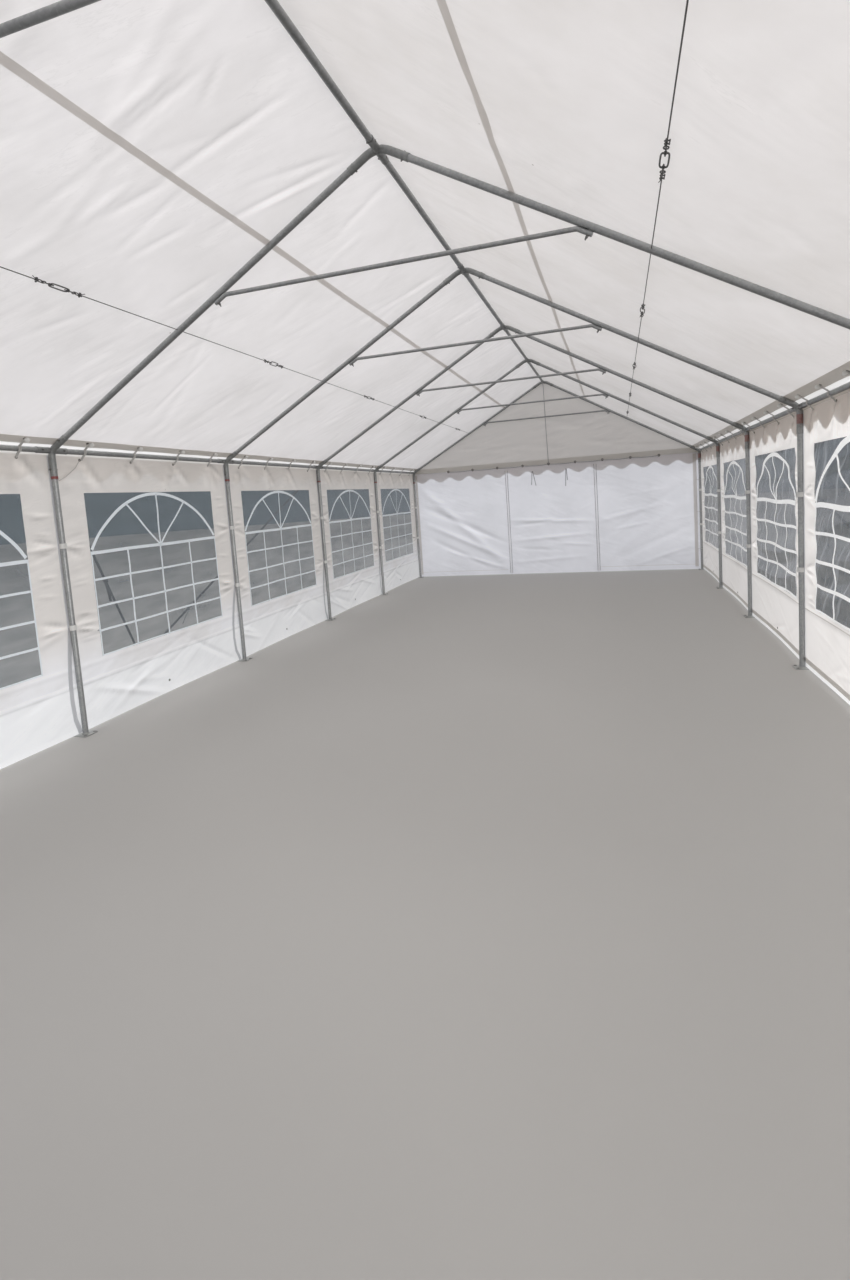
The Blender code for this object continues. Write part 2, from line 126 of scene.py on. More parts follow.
bm = bmesh.new()
bmesh.ops.create_circle(bm, cap_ends=True, segments=64, radius=FLOOR_RADIUS)
floor_mesh = bpy.data.meshes.new("floor")
bm.to_mesh(floor_mesh)
bm.free()
floor = add_object("floor", floor_mesh)
floor.location.z = -0.001
floor_paint, tree, shader = surface("floor_paint")
fill(tree, shader, {"Base Color": (0.52, 0.51, 0.49, 1.0), "Roughness": 0.85})
floor_mesh.materials.append(floor_paint)

# Galvanised tube
# The whole frame is hot-dip galvanised steel tube, gone dull grey outdoors, with
# a faint crystal pattern in the zinc and darker weather stains along the tubes.


def maths(tree, operation, *values):
    return node(tree, "Math", dict(enumerate(values)), operation=operation).outputs[0]


def remap(tree, value, low, high, start=0.0, end=1.0, **settings):
    """Turn the values from low to high into start to end, and hold them there."""
    limits = {"Value": value, "From Min": low, "From Max": high, "To Min": start, "To Max": end}
    return node(tree, "MapRange", limits, **settings).outputs[0]


def blend(tree, share, first, second):
    """The first colour, going over into the second by a share."""
    colours = {"Factor": share, "A": first, "B": second}
    return node(tree, "Mix", colours, data_type="RGBA").outputs["Result"]


def dimmed(tree, colour, scale):
    return node(tree, "VectorMath", {0: colour, "Scale": scale}, operation="SCALE").outputs[0]


def effect(name, inputs, outputs):
    """Start a node group for a surface effect. Returns its tree and what it is given."""
    tree = bpy.data.node_groups.new(name, "ShaderNodeTree")
    for socket, value in inputs.items():
        kind = "NodeSocketColor" if hasattr(value, "__len__") else "NodeSocketFloat"
        made = tree.interface.new_socket(socket, in_out="INPUT", socket_type=kind)
        made.default_value = value
    for socket, kind in outputs.items():
        tree.interface.new_socket(socket, in_out="OUTPUT", socket_type="NodeSocket" + kind)
    return tree, tree.nodes.new("NodeGroupInput").outputs


zinc, given = effect(
    "zinc",
    {"Light": (0.34, 0.36, 0.365, 1), "Dark": (0.19, 0.205, 0.21, 1), "Crystal": 90.0},
    {"Color": "Color", "Roughness": "Float", "Height": "Float"},
)
here = node(zinc, "TexCoord").outputs["Object"]
crystal = node(zinc, "TexVoronoi", {"Vector": here, "Scale": given["Crystal"]}).outputs["Color"]
facet = node(zinc, "SeparateColor", {"Color": crystal}).outputs["Red"]
stains = {"Vector": here, "Scale": 5.0, "Detail": 6.0, "Roughness": 0.65}
stain = node(zinc, "TexNoise", stains).outputs["Fac"]
grime = node(zinc, "TexNoise", {"Vector": here, "Scale": 60.0, "Detail": 3.0}).outputs["Fac"]
mixed = maths(zinc, "MULTIPLY", facet, 0.30)
mixed = maths(zinc, "MULTIPLY_ADD", stain, 0.95, mixed)
mixed = maths(zinc, "MULTIPLY_ADD", grime, 0.25, mixed)
tone = blend(zinc, remap(zinc, mixed, 0.25, 1.20), given["Dark"], given["Light"])
# Painted light and shade: the upper side of a tube is drawn brighter and its underside darker
normal = node(zinc, "NewGeometry").outputs["Normal"]
painted_light_by_facing = node(zinc, "SeparateXYZ", {"Vector": normal}).outputs["Z"]
zinc_out = {
    "Color": dimmed(zinc, tone, remap(zinc, painted_light_by_facing, -1.0, 1.0, 0.62, 1.5)),
    "Roughness": remap(zinc, mixed, 0.3, 1.1, 0.52, 0.32),
    "Height": grime,
}
fill(zinc, zinc.nodes.new("NodeGroupOutput"), zinc_out)


def zinc_finish(name, light, dark, metallic=0.35, crystal=90.0):
    """A galvanised finish with its own light and dark tones."""
    made, tree, shader = surface(name)
    tones = {"Light": (*light, 1), "Dark": (*dark, 1), "Crystal": crystal}
    look = node(tree, "Group", tones, node_tree=zinc).outputs
    relief = node(tree, "Bump", {"Height": look["Height"], "Strength": 0.08, "Distance": 0.001})
    fill(tree, shader, {"Base Color": look["Color"], "Roughness": look["Roughness"]})
    fill(tree, shader, {"Metallic": metallic, "Normal": relief.outputs[0]})
    return made


tube_zinc = zinc_finish("galvanised_tube", (0.43, 0.44, 0.44), (0.23, 0.24, 0.245), 0.65)

# Posts and feet
# Fourteen straight tubes, each welded to a square plate that spreads the load on
# the ground. Pegs with flat heads hold the plates down.
HALF_LENGTH = 6.0
HALF_WIDTH = 2.5
BAY = 2.0
PORTAL_YS = [BAY * i - HALF_LENGTH for i in range(7)]
SIDES = ((-1, "left"), (1, "right"))
TUBE_R = 0.019
PLATE_SIDE = 0.115
PLATE_TOP = 0.005
POST_TOP = 1.9697
PEG_IN = 0.040
WELD = ((-0.001, 0.006), (0.003, 0.005), (0.007, 0.0003))
plate_zinc = zinc_finish("galvanised_plate", (0.34, 0.345, 0.335), (0.22, 0.225, 0.215), 0.3)
bolt_zinc = zinc_finish("plated_bolt", (0.26, 0.26, 0.25), (0.12, 0.12, 0.12), 0.6, 300.0)


def piece(name, bm, looks, stands=False, sharp=35):
    """Turn a bmesh into a piece that rides on the tent. It may stand for its CAD node."""
    mesh = bpy.data.meshes.new(name)
    bmesh.ops.recalc_face_normals(bm, faces=bm.faces)
    bm.to_mesh(mesh)
    bm.free()
    mesh.shade_smooth()
    if sharp:
        mesh.set_sharp_from_angle(angle=math.radians(sharp))
    made = add_object(name + "_dressed" if stands else name, mesh)
    for look in looks:
        mesh.materials.append(look)
    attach(made, "root")
    if stands:
        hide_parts(name)
    return made


def sweep(bm, path, radius, sides=20, slot=0, squash=1.0, caps=True):
    """Push a round bar along a path: a ring is extruded from each point to the next."""
    points = [Vector(point) for point in path]
    radii = radius if hasattr(radius, "__len__") else [radius] * len(points)
    along = (points[1] - points[0]).normalized()
    frame_now = along.to_track_quat("Z", "Y").to_matrix()
    faces_before = set(bm.faces)
    ring = bmesh.ops.create_circle(bm, segments=sides, radius=1.0)["verts"]
    edges = list({edge for vert in ring for edge in vert.link_edges})
    place = Matrix.Translation(points[0]) @ frame_now.to_4x4()
    place = place @ Matrix.Diagonal((radii[0], radii[0] * squash, 1, 1))
    bmesh.ops.transform(bm, matrix=place, verts=ring)
    ends = [ring]
    for i in range(1, len(points)):
        after = points[min(i + 1, len(points) - 1)] - points[i - 1]
        turn = along.rotation_difference(after.normalized()).to_matrix()
        frame_now = turn @ frame_now
        along = after.normalized()
        new_place = Matrix.Translation(points[i]) @ frame_now.to_4x4()
        new_place = new_place @ Matrix.Diagonal((radii[i], radii[i] * squash, 1, 1))
        grown = bmesh.ops.extrude_edge_only(bm, edges=edges)["geom"]
        ring = [item for item in grown if isinstance(item, bmesh.types.BMVert)]
        bmesh.ops.transform(bm, matrix=new_place @ place.inverted(), verts=ring)
        edges = [item for item in grown if isinstance(item, bmesh.types.BMEdge)]
        edges = [edge for edge in edges if all(vert in ring for vert in edge.verts)]
        place = new_place
    ends.append(ring)
    if caps:
        for ring in ends:
            bmesh.ops.contextual_create(bm, geom=ring)
    for face in set(bm.faces) - faces_before:
        face.material_index = slot


def bar(bm, start, end, radius, sides=24, slot=0, chamfer=0.0012):
    """A straight round bar between two points, with its end edges taken off."""
    start, end = Vector(start), Vector(end)
    inset = (end - start).normalized() * chamfer
    path = [start, start + inset, end - inset, end]
    sweep(bm, path, [radius - chamfer, radius, radius, radius - chamfer], sides, slot)


def disc(bm, sides, low, high, depth, z=0.0):
    """A short cone or cylinder round the Z axis, from its lower to its upper radius."""
    middle = Matrix.Translation((0, 0, z))
    bmesh.ops.create_cone(
        bm, cap_ends=True, segments=sides, radius1=low, radius2=high, depth=depth, matrix=middle
    )


def block(bm, place, size, rim=0.0):
    """A block of a size, put in place by a matrix, with its edges rounded."""
    made = bmesh.ops.create_cube(bm, size=1.0, matrix=place @ Matrix.Diagonal((*size, 1)))["verts"]
    if rim:
        rims = list({edge for vert in made for edge in vert.link_edges})
        bmesh.ops.bevel(bm, geom=rims, offset=rim, segments=2, profile=0.5, affect="EDGES", material=-1)


def stamp(bm, pattern, places, slot=None):
    """Copy a small bmesh into a larger one, once for each placing matrix."""
    mesh = bpy.data.meshes.new("stamp")
    pattern.to_mesh(mesh)
    for place in places:
        old_verts, old_faces = len(bm.verts), len(bm.faces)
        bm.from_mesh(mesh)
        bmesh.ops.transform(bm, matrix=place, verts=list(bm.verts)[old_verts:])
        if slot is not None:
            for face in list(bm.faces)[old_faces:]:
                face.material_index = slot
    bpy.data.meshes.remove(mesh)


peg_head = bmesh.new()
disc(peg_head, 12, 0.013, 0.010, 0.006)
for side, word in SIDES:
    for number, y in enumerate(PORTAL_YS, 1):
        x = side * HALF_WIDTH
        bm = bmesh.new()
        block(bm, Matrix.Translation((x, y, PLATE_TOP / 2)), (PLATE_SIDE, PLATE_SIDE, PLATE_TOP))
        corners = [e for e in bm.edges if abs(e.verts[0].co.z - e.verts[1].co.z) > 0.001]
        rounded = {"profile": 0.5, "affect": "EDGES", "material": -1}
        bmesh.ops.bevel(bm, geom=corners, offset=0.010, segments=4, **rounded)
        rims = [e for e in bm.edges if min(v.co.z for v in e.verts) > PLATE_TOP - 0.0001]
        bmesh.ops.bevel(bm, geom=rims, offset=0.001, segments=1, **rounded)
        for face in bm.faces:
            face.material_index = 1
        weld = [(x, y, PLATE_TOP + rise) for rise, out in WELD]
        sweep(bm, weld, [TUBE_R + out for rise, out in WELD], 24, slot=1)
        bar(bm, (x, y, PLATE_TOP / 2), (x, y, POST_TOP), TUBE_R)
        heads = [(x - side * PEG_IN, y + way * PEG_IN, PLATE_TOP + 0.003) for way in (-1, 1)]
        stamp(bm, peg_head, [Matrix.Translation(head) for head in heads], slot=2)
        looks = [tube_zinc, plate_zinc, bolt_zinc]
        piece(f"post_{word}_{number}", bm, looks, stands=True)

# Rafters
# Two straight tubes to a portal, pushed into the ridge fitting above and into the
# eave fitting below, and drilled where the roof wire goes through.
EAVE_Z = 2.0
ROOF_RISE = 1.42
SLOPE = math.atan2(ROOF_RISE, HALF_WIDTH)
RAFTER_LINE = math.hypot(HALF_WIDTH, ROOF_RISE)
RIDGE_Z = EAVE_Z + ROOF_RISE
RAFTER_FROM = 0.081
RAFTER_TO = RAFTER_LINE - 0.031


def down_slope(side):
    return Vector((side * math.cos(SLOPE), 0, -math.sin(SLOPE)))


def off_slope(side):
    return Vector((side * math.sin(SLOPE), 0, math.cos(SLOPE)))


def on_rafter(side, distance, y, lift=0.0):
    """The point at a distance down a slope from the ridge line, lifted off the tubes' plane."""
    return Vector((0, y, RIDGE_Z)) + down_slope(side) * distance + off_slope(side) * lift


for side, word in SIDES:
    for number, y in enumerate(PORTAL_YS, 1):
        bm = bmesh.new()
        bar(bm, on_rafter(side, RAFTER_FROM, y), on_rafter(side, RAFTER_TO, y), TUBE_R)
        piece(f"rafter_{word}_{number}", bm, [tube_zinc], stands=True)

# Eave fittings and eave purlins
# A welded fitting of thicker tube joins the post, the rafter and the purlins of
# each eave, with a bolt through every sleeve and a painted mark on its post sleeve.
SLEEVE_R = 0.0215
POST_SLEEVE = 0.20
RAFTER_SLEEVE = 0.155
PURLIN_SLEEVE = 0.12
BEND = 0.05
RED_MARK = (0.006, 0.024)
FADED_MARK = (0.075, 0.145)
red_mark, tree, shader = surface("red_paint_mark")
worn = node(tree, "TexNoise", {"Scale": 140.0, "Detail": 3.0}).outputs["Fac"]
paint = blend(tree, remap(tree, worn, 0.40, 0.62), (0.30, 0.035, 0.035, 1), (0.16, 0.10, 0.10, 1))
fill(tree, shader, {"Base Color": paint, "Roughness": 0.55})
sleeve_zinc = zinc_finish("galvanised_sleeve", (0.34, 0.35, 0.345), (0.17, 0.178, 0.178), 0.5, 60.0)
rust_mark = zinc_finish("faded_red_mark", (0.30, 0.20, 0.19), (0.20, 0.085, 0.080), 0.3, 60.0)

bolt = bmesh.new()
disc(bolt, 6, 0.0075, 0.0075, 0.005, 0.0245)
disc(bolt, 12, 0.0085, 0.0085, 0.0012, 0.0216)
disc(bolt, 6, 0.0072, 0.0072, 0.006, -0.0248)
disc(bolt, 10, 0.004, 0.004, 0.061, -0.0045)


def facing(place, along, turn=0.0):
    """A placing matrix whose Z axis points along a direction."""
    turned = Vector(along).to_track_quat("Z", "Y").to_matrix().to_4x4()
    return Matrix.Translation(place) @ turned @ Matrix.Rotation(turn, 4, "Z")


def sleeve_ends(number, y):
    """Where a purlin sleeve starts and ends. The end portals have half a sleeve."""
    start = 0.004 if number == 1 else -PURLIN_SLEEVE
    return y + start, y + (-0.004 if number == 7 else PURLIN_SLEEVE)


def collar(bm, place, along):
    """The rolled lip at the mouth of a sleeve."""
    start = Vector(place) - Vector(along) * 0.008
    middle = Vector(place) - Vector(along) * 0.004
    radii = [SLEEVE_R + 0.0001, SLEEVE_R + 0.0009, SLEEVE_R - 0.0003]
    sweep(bm, [start, middle, place], radii, 24, slot=1)


def purlin(bm, number, joint, outward, turn):
    """A portal's purlin sleeve and the purlin on to the next portal. Returns its bolts' places."""
    x, y, z = joint
    start, end = sleeve_ends(number, y)
    sweep(bm, [(x, start, z), (x, end, z)], SLEEVE_R, 24, slot=1)
    if number < 7:
        next_start = sleeve_ends(number + 1, y + BAY)[0]
        bar(bm, (x, end - 0.01, z), (x, next_start + 0.01, z), TUBE_R)
    bolts = []
    for sleeve_end, way in ((start, -1), (end, 1)):
        if abs(sleeve_end - y) > 0.05:
            collar(bm, (x, sleeve_end, z), (0, way, 0))
            bolts.append(facing((x, y + way * 0.085, z), outward, turn))
    return bolts


for side, word in SIDES:
    bm = bmesh.new()
    bolts = []
    up_slope = -down_slope(side)
    for number, y in enumerate(PORTAL_YS, 1):
        joint = Vector((side * HALF_WIDTH, y, EAVE_Z))
        bolts += purlin(bm, number, joint, (side, 0, 0), 0.3)
        # The post sleeve bends over into the rafter sleeve
        down = Vector((0, 0, -1))
        path = [joint + down * POST_SLEEVE, joint + down * BEND]
        for t in np.arange(1, 6) / 6:
            path.append(joint + down * BEND * (1 - t) ** 2 + up_slope * BEND * t**2)
        path += [joint + up_slope * BEND, joint + up_slope * RAFTER_SLEEVE]
        sweep(bm, path, SLEEVE_R + 0.0003, 24, slot=1)
        collar(bm, path[0], down)
        collar(bm, path[-1], up_slope)
        mark = [path[0] - down * rise for rise in (RED_MARK if side < 0 else FADED_MARK)]
        sweep(bm, mark, SLEEVE_R + 0.0008, 24, slot=3 if side < 0 else 4)
        outward = (0, -1 if number == 1 else 1, 0)
        snug = Matrix.Scale(0.86 if number in (1, 7) else 1.0, 4, (0, 0, 1))
        bolts.append(facing(joint + down * 0.13, outward) @ snug)
        bolts.append(facing(joint + up_slope * 0.115, outward, 0.4) @ snug)
    stamp(bm, bolt, bolts, slot=2)
    looks = [tube_zinc, sleeve_zinc, bolt_zinc, red_mark, rust_mark]
    piece(f"eave_rail_{word}", bm, looks, stands=True)

# Ridge fittings and ridge purlins
# A bent tube carries the two rafters of each portal over the ridge, with sleeves
# for the ridge purlins welded through its crown.
BEND_REACH = 0.08
BEND_R = BEND_REACH / math.tan(SLOPE)
BEND_CENTRE_Z = RIDGE_Z - BEND_R / math.cos(SLOPE)
RIDGE_PURLIN_Z = BEND_CENTRE_Z + BEND_R
RIDGE_SLEEVE = 0.20
bm = bmesh.new()
bolts = []
for number, y in enumerate(PORTAL_YS, 1):
    bolts += purlin(bm, number, (0, y, RIDGE_PURLIN_Z), (1, 0, 0), 0.2)
    path = [on_rafter(-1, RIDGE_SLEEVE, y)]
    for angle in SLOPE * (np.arange(13) / 6 - 1):
        path.append((BEND_R * math.sin(angle), y, BEND_CENTRE_Z + BEND_R * math.cos(angle)))
    path.append(on_rafter(1, RIDGE_SLEEVE, y))
    sweep(bm, path, SLEEVE_R + 0.0004, 24, slot=1)
    for side, word in SIDES:
        collar(bm, on_rafter(side, RIDGE_SLEEVE, y), down_slope(side))
        bolts.append(facing(on_rafter(side, 0.165, y), off_slope(side)))
low_bolt = bolt.copy()
bmesh.ops.scale(low_bolt, vec=(1, 1, 0.86), verts=low_bolt.verts)
stamp(bm, low_bolt, bolts, slot=2)
piece("ridge_rail", bm, [tube_zinc, sleeve_zinc, bolt_zinc], stands=True)

# Collar ties
# A thinner tube ties each pair of rafters below the ridge. Its ends are cranked to
# lie under the rafters, where a bolt with a wing nut clamps each of them.
TIE_R = 0.0125
TIE_Z = 2.80
TIE_UNDER = TUBE_R + TIE_R + 0.0003
TIE_DOWN = (RIDGE_Z - TIE_UNDER * math.cos(SLOPE) - TIE_Z) / math.sin(SLOPE)
TIE_BOLT = TIE_DOWN + 0.064
wing = bmesh.new()
disc(wing, 10, 0.008, 0.006, 0.010, -0.006)
for way in (-1, 1):
    ear = Matrix.Translation((way * 0.011, 0, -0.012)) @ Matrix.Rotation(way * 0.6, 4, "Y")
    ear = ear @ Matrix.Diagonal((0.009, 0.002, 0.006, 1))
    bmesh.ops.create_uvsphere(wing, u_segments=8, v_segments=6, radius=1.0, matrix=ear)
disc(wing, 8, 0.0035, 0.0035, 0.024, -0.012)
for number, y in enumerate(PORTAL_YS, 1):
    bm = bmesh.new()
    halves = []
    for side, word in SIDES:
        corner = on_rafter(side, TIE_DOWN, y, -TIE_UNDER)
        level_part = [corner - Vector((side, 0, 0)) * inward for inward in (0.03, 0.012)]
        halves.append(level_part + [corner + down_slope(side) * far for far in (0.004, 0.02, 0.085)])
    sweep(bm, halves[0][::-1] + halves[1], TIE_R, 20)
    for side, word in SIDES:
        lug = on_rafter(side, TIE_BOLT, y, -TUBE_R)
        through = off_slope(side)
        bar(bm, lug + through * 0.003, lug - through * (2 * TIE_R + 0.002), 0.009, 12, slot=1)
        under = on_rafter(side, TIE_BOLT, y, -TIE_UNDER - TIE_R * 0.9)
        stamp(bm, wing, [facing(under, through, 0.5)], slot=1)
    piece(f"collar_tie_{number}", bm, [tube_zinc, bolt_zinc], stands=True)

# Roof wires
# A steel wire runs through the rafters of each slope under the cover. In every bay
# an open turnbuckle tightens it, with a clamped wire eye at each of its ends.
WIRE_DOWN = 0.55 * RAFTER_LINE
WIRE_R = 0.0026
WIRE_END = 6.024
BODY_LENGTH = 0.105
BODY_WIDTH = 0.030
CLAMP_AT = 0.124
EYE_AT = 0.118
TURNS = (0.25, -0.3, 0.1, -0.15, 0.35, -0.2)
wire_steel = zinc_finish("weathered_wire", (0.17, 0.17, 0.165), (0.07, 0.07, 0.07), 0.5, 400.0)


def hoop(radius, count):
    """Points round a circle, with the first one again at the end."""
    return [(radius * math.cos(a), radius * math.sin(a), 0) for a in np.linspace(0, 2 * math.pi, count)]


def squared(value):
    return math.copysign(abs(value) ** 0.45, value)


turnbuckle = bmesh.new()
oval = [(0, squared(u) * BODY_LENGTH / 2, squared(v) * BODY_WIDTH / 2) for u, v, _ in hoop(1.0, 17)]
sweep(turnbuckle, oval, 0.0034, 8, caps=False)
for way in (-1, 1):
    bar(turnbuckle, (0, way * 0.030, 0), (0, way * 0.078, 0), 0.0030, 8)
    bar(turnbuckle, (0, way * 0.046, 0), (0, way * 0.058, 0), 0.0062, 10)
    eye = [(0, way * (0.087 + u), v) for u, v, _ in hoop(0.009, 13)]
    sweep(turnbuckle, eye, 0.0026, 8, caps=False)
    loop = [(0.006 * v, way * (0.105 + 0.017 * u), 0) for u, v, _ in hoop(1.0, 13)]
    sweep(turnbuckle, loop, WIRE_R, 6, caps=False)
    for x in (-0.005, 0.005):
        bar(turnbuckle, (x, way * CLAMP_AT, -0.009), (x, way * CLAMP_AT, 0.009), 0.0028, 8)
        bar(turnbuckle, (x, way * CLAMP_AT, 0.006), (x, way * CLAMP_AT, 0.011), 0.0046, 6)
    block(turnbuckle, Matrix.Translation((0, way * CLAMP_AT, -0.004)), (0.020, 0.010, 0.005))
    tail = [(0.003, way * 0.12, 0), (0.007, way * 0.140, -0.004), (0.009, way * 0.150, -0.009)]
    sweep(turnbuckle, tail, WIRE_R * 0.7, 6)
for side, word in SIDES:
    bm = bmesh.new()
    middles = [y + 1.12 for y in PORTAL_YS[:-1]]
    starts = [-WIRE_END] + [middle + EYE_AT for middle in middles]
    ends = [middle - EYE_AT for middle in middles] + [WIRE_END]
    for start, end in zip(starts, ends):
        sweep(bm, [on_rafter(side, WIRE_DOWN, start), on_rafter(side, WIRE_DOWN, end)], WIRE_R, 8)
    for middle, turn in zip(middles, TURNS):
        turned = Matrix.Rotation((SLOPE + math.pi / 2 + turn) * side, 4, "Y")
        stamp(bm, turnbuckle, [Matrix.Translation(on_rafter(side, WIRE_DOWN, middle)) @ turned])
    for y in (-6.0215, 6.0215):
        stops = [on_rafter(side, WIRE_DOWN, y + way * 0.004) for way in (-1, 1)]
        bar(bm, *stops, 0.006, 10)
    piece(f"roof_wire_{word}", bm, [wire_steel], stands=True)

# Coated cloth
# The cover and walls are polyester cloth coated in white plastic. It lets some
# daylight through, so that a doubled cloth, as in a hem or a seam, looks tan.
DIRT = (0.22, 0.19, 0.15, 1)
coated, given = effect(
    "coated_cloth",
    {
        "Clean": (0.80, 0.79, 0.78, 1),
        "Soiled": (0.70, 0.67, 0.62, 1),
        "Through": (0.84, 0.82, 0.80, 1),
        "PaintedLightLean": 0.0,
        "Slant": 0.0,
        "Wrinkle": 1.0,
    },
    {"Color": "Color", "Through": "Color", "Roughness": "Float", "Height": "Float"},
)
spot = node(coated, "TexCoord").outputs["Object"]
flat = node(coated, "UVMap", uv_map="cloth").outputs["UV"]
clouds = {"Vector": spot, "Scale": 1.7, "Detail": 5.0, "Roughness": 0.62}
cloud = node(coated, "TexNoise", clouds).outputs["Fac"]
smudge = remap(coated, cloud, 0.40, 0.74, 0.0, 0.55)
# A speck of dirt sits in a few of the cells of a coarse cell pattern
cells = node(coated, "TexVoronoi", {"Vector": spot, "Scale": 5.0}).outputs
pick = node(coated, "SeparateColor", {"Color": cells["Color"]}).outputs["Green"]
rare = maths(coated, "GREATER_THAN", pick, 0.86)
dirt = maths(coated, "MULTIPLY", rare, remap(coated, cells["Distance"], 0.018, 0.034, 0.55, 0.0))
seen = blend(coated, dirt, blend(coated, smudge, given["Clean"], given["Soiled"]), DIRT)
lit = blend(coated, dirt, blend(coated, smudge, given["Through"], given["Soiled"]), DIRT)
# Fine wrinkles from folding away run along a slant, in patches, over the weave
turn = node(coated, "CombineXYZ", {"Z": given["Slant"]}).outputs[0]
along = {"Vector": flat, "Rotation": turn, "Scale": (1.0, 0.17, 1.0)}
slanted = node(coated, "Mapping", along, vector_type="TEXTURE").outputs[0]
bends = {"Vector": slanted, "Scale": 2.4, "Detail": 6.0, "Roughness": 0.60}
bent = node(coated, "TexNoise", bends).outputs["Fac"]
patchy = node(coated, "TexNoise", {"Vector": flat, "Scale": 1.3, "Detail": 2.0}).outputs["Fac"]
shown = maths(coated, "MULTIPLY", remap(coated, patchy, 0.40, 0.62), given["Wrinkle"])
wave = maths(coated, "MULTIPLY", maths(coated, "SUBTRACT", bent, 0.5), shown)
threads = {"Vector": flat, "Scale": 120.0}
warp, weft = (node(coated, "TexWave", threads, bands_direction=way).outputs["Fac"] for way in "XY")
weave = maths(coated, "MULTIPLY", warp, weft)
# Painted light and shade: the wrinkles are drawn brighter and darker in the colour, with a thin painted dark
# line along each crease, and a fold that leans toward a given way is painted brighter and the other side of
# it darker
painted_crease_line = maths(coated, "ABSOLUTE", maths(coated, "SUBTRACT", wave, 0.055))
shade = maths(coated, "MULTIPLY_ADD", wave, 0.34, remap(coated, painted_crease_line, 0.0, 0.009, 0.94, 1.0))
coated_out = {
    "Color": dimmed(coated, seen, maths(coated, "MULTIPLY_ADD", given["PaintedLightLean"], 0.70, shade)),
    "Through": dimmed(coated, lit, maths(coated, "MULTIPLY_ADD", given["PaintedLightLean"], 1.2, shade)),
    "Roughness": remap(coated, cloud, 0.0, 1.0, 0.46, 0.62),
    "Height": maths(coated, "MULTIPLY_ADD", weave, 0.06, maths(coated, "MULTIPLY", wave, 4.0)),
}
fill(coated, coated.nodes.new("NodeGroupOutput"), coated_out)


def cloth_finish(name, clean, soiled, through, share=0.5, relief=0.5, foot=None, slant=0.0, wrinkle=1.0):
    """A coated cloth in its own tones. share is how much of its look is light let through.

    foot gives a tone near the ground, painted light that fades into the others further up.
    Its fine wrinkles run at a slant from level, in radians.
    """
    made, tree, shader = surface(name)
    tones = {"Clean": (*clean, 1), "Soiled": (*soiled, 1), "Through": (*through, 1)}
    if foot:
        spot = node(tree, "TexCoord").outputs["Object"]
        height = node(tree, "SeparateXYZ", {"Vector": spot}).outputs["Z"]
        rise = remap(tree, height, 0.40, 0.85, interpolation_type="SMOOTHSTEP")
        for socket in ("Clean", "Through"):
            tones[socket] = blend(tree, rise, (*foot, 1), tones[socket])
    # The lean attribute paints light and shade on the folds
    tones["PaintedLightLean"] = node(tree, "Attribute", attribute_name="lean").outputs["Fac"]
    tones.update(Slant=slant, Wrinkle=wrinkle)
    look = node(tree, "Group", tones, node_tree=coated).outputs
    folds = {"Height": look["Height"], "Strength": relief, "Distance": 0.0015}
    bump = node(tree, "Bump", folds).outputs[0]
    fill(tree, shader, {"Base Color": look["Color"], "Roughness": look["Roughness"], "Normal": bump})
    glow = node(tree, "BsdfTranslucent", {"Color": look["Through"], "Normal": bump})
    both = node(tree, "MixShader", {0: share, 1: shader.outputs[0], 2: glow.outputs[0]})
    fill(tree, tree.nodes["Material Output"], {"Surface": both.outputs[0]})
    return made


# Roof cover
# One large sheet lies over the ridge and both slopes and hangs down past the
# eaves as a scalloped valance. It dips a little between the portals.
COVER_LIFT = 0.0235
EAVE_TURN = 2.888
EDGE_FROM = 2.83
VALANCE_X = HALF_WIDTH + 0.0275
VALANCE_TIP = 1.79
VALANCE_VALLEY = 1.87
COVER_END = 6.031
LOBE = 0.35
left_roof = cloth_finish(
    "left_roof_cloth", (0.84, 0.82, 0.82), (0.78, 0.76, 0.75), (0.98, 0.955, 0.955), slant=1.13
)
right_roof = cloth_finish(
    "right_roof_cloth", (0.85, 0.825, 0.82), (0.79, 0.76, 0.73), (0.995, 0.965, 0.955),
    slant=1.13, wrinkle=0.6,
)
hem_cloth = cloth_finish(
    "doubled_hem_cloth", (0.70, 0.68, 0.65), (0.60, 0.57, 0.53), (0.55, 0.52, 0.48), 0.35
)
seam_cloth = cloth_finish("welded_seam_cloth", (0.74, 0.72, 0.70), (0.68, 0.65, 0.62), (0.74, 0.71, 0.68))
edge_cloth = cloth_finish(
    "single_edge_cloth", (0.88, 0.87, 0.86), (0.84, 0.82, 0.80), (1.0, 0.99, 0.98), 0.75
)
# The valance is the cover's cloth, but its Through tone is far darker, so that it throws a deep tan shadow
# through the walls: the real doubling of the cloth, deepened by painted shade. The left valance is a copy
# that lets through about as much light as the cover, so that its shadow through the left wall hardly shows
valance_cloth = cloth_finish(
    "valance_cloth", (0.80, 0.78, 0.75), (0.72, 0.69, 0.65), (0.36, 0.305, 0.26), 0.45
)
left_valance = cloth_finish(
    "left_valance_cloth", (0.80, 0.78, 0.75), (0.74, 0.71, 0.67), (1.0, 0.96, 0.93), 0.65
)


def steps(*stops, pitch):
    """Grid lines from the first stop to the last, with a line on every stop."""
    lines = [stops[0]]
    for start, end in zip(stops, stops[1:]):
        count = max(1, round(abs(end - start) / pitch))
        lines += [start + (end - start) * i / count for i in range(1, count + 1)]
    return lines


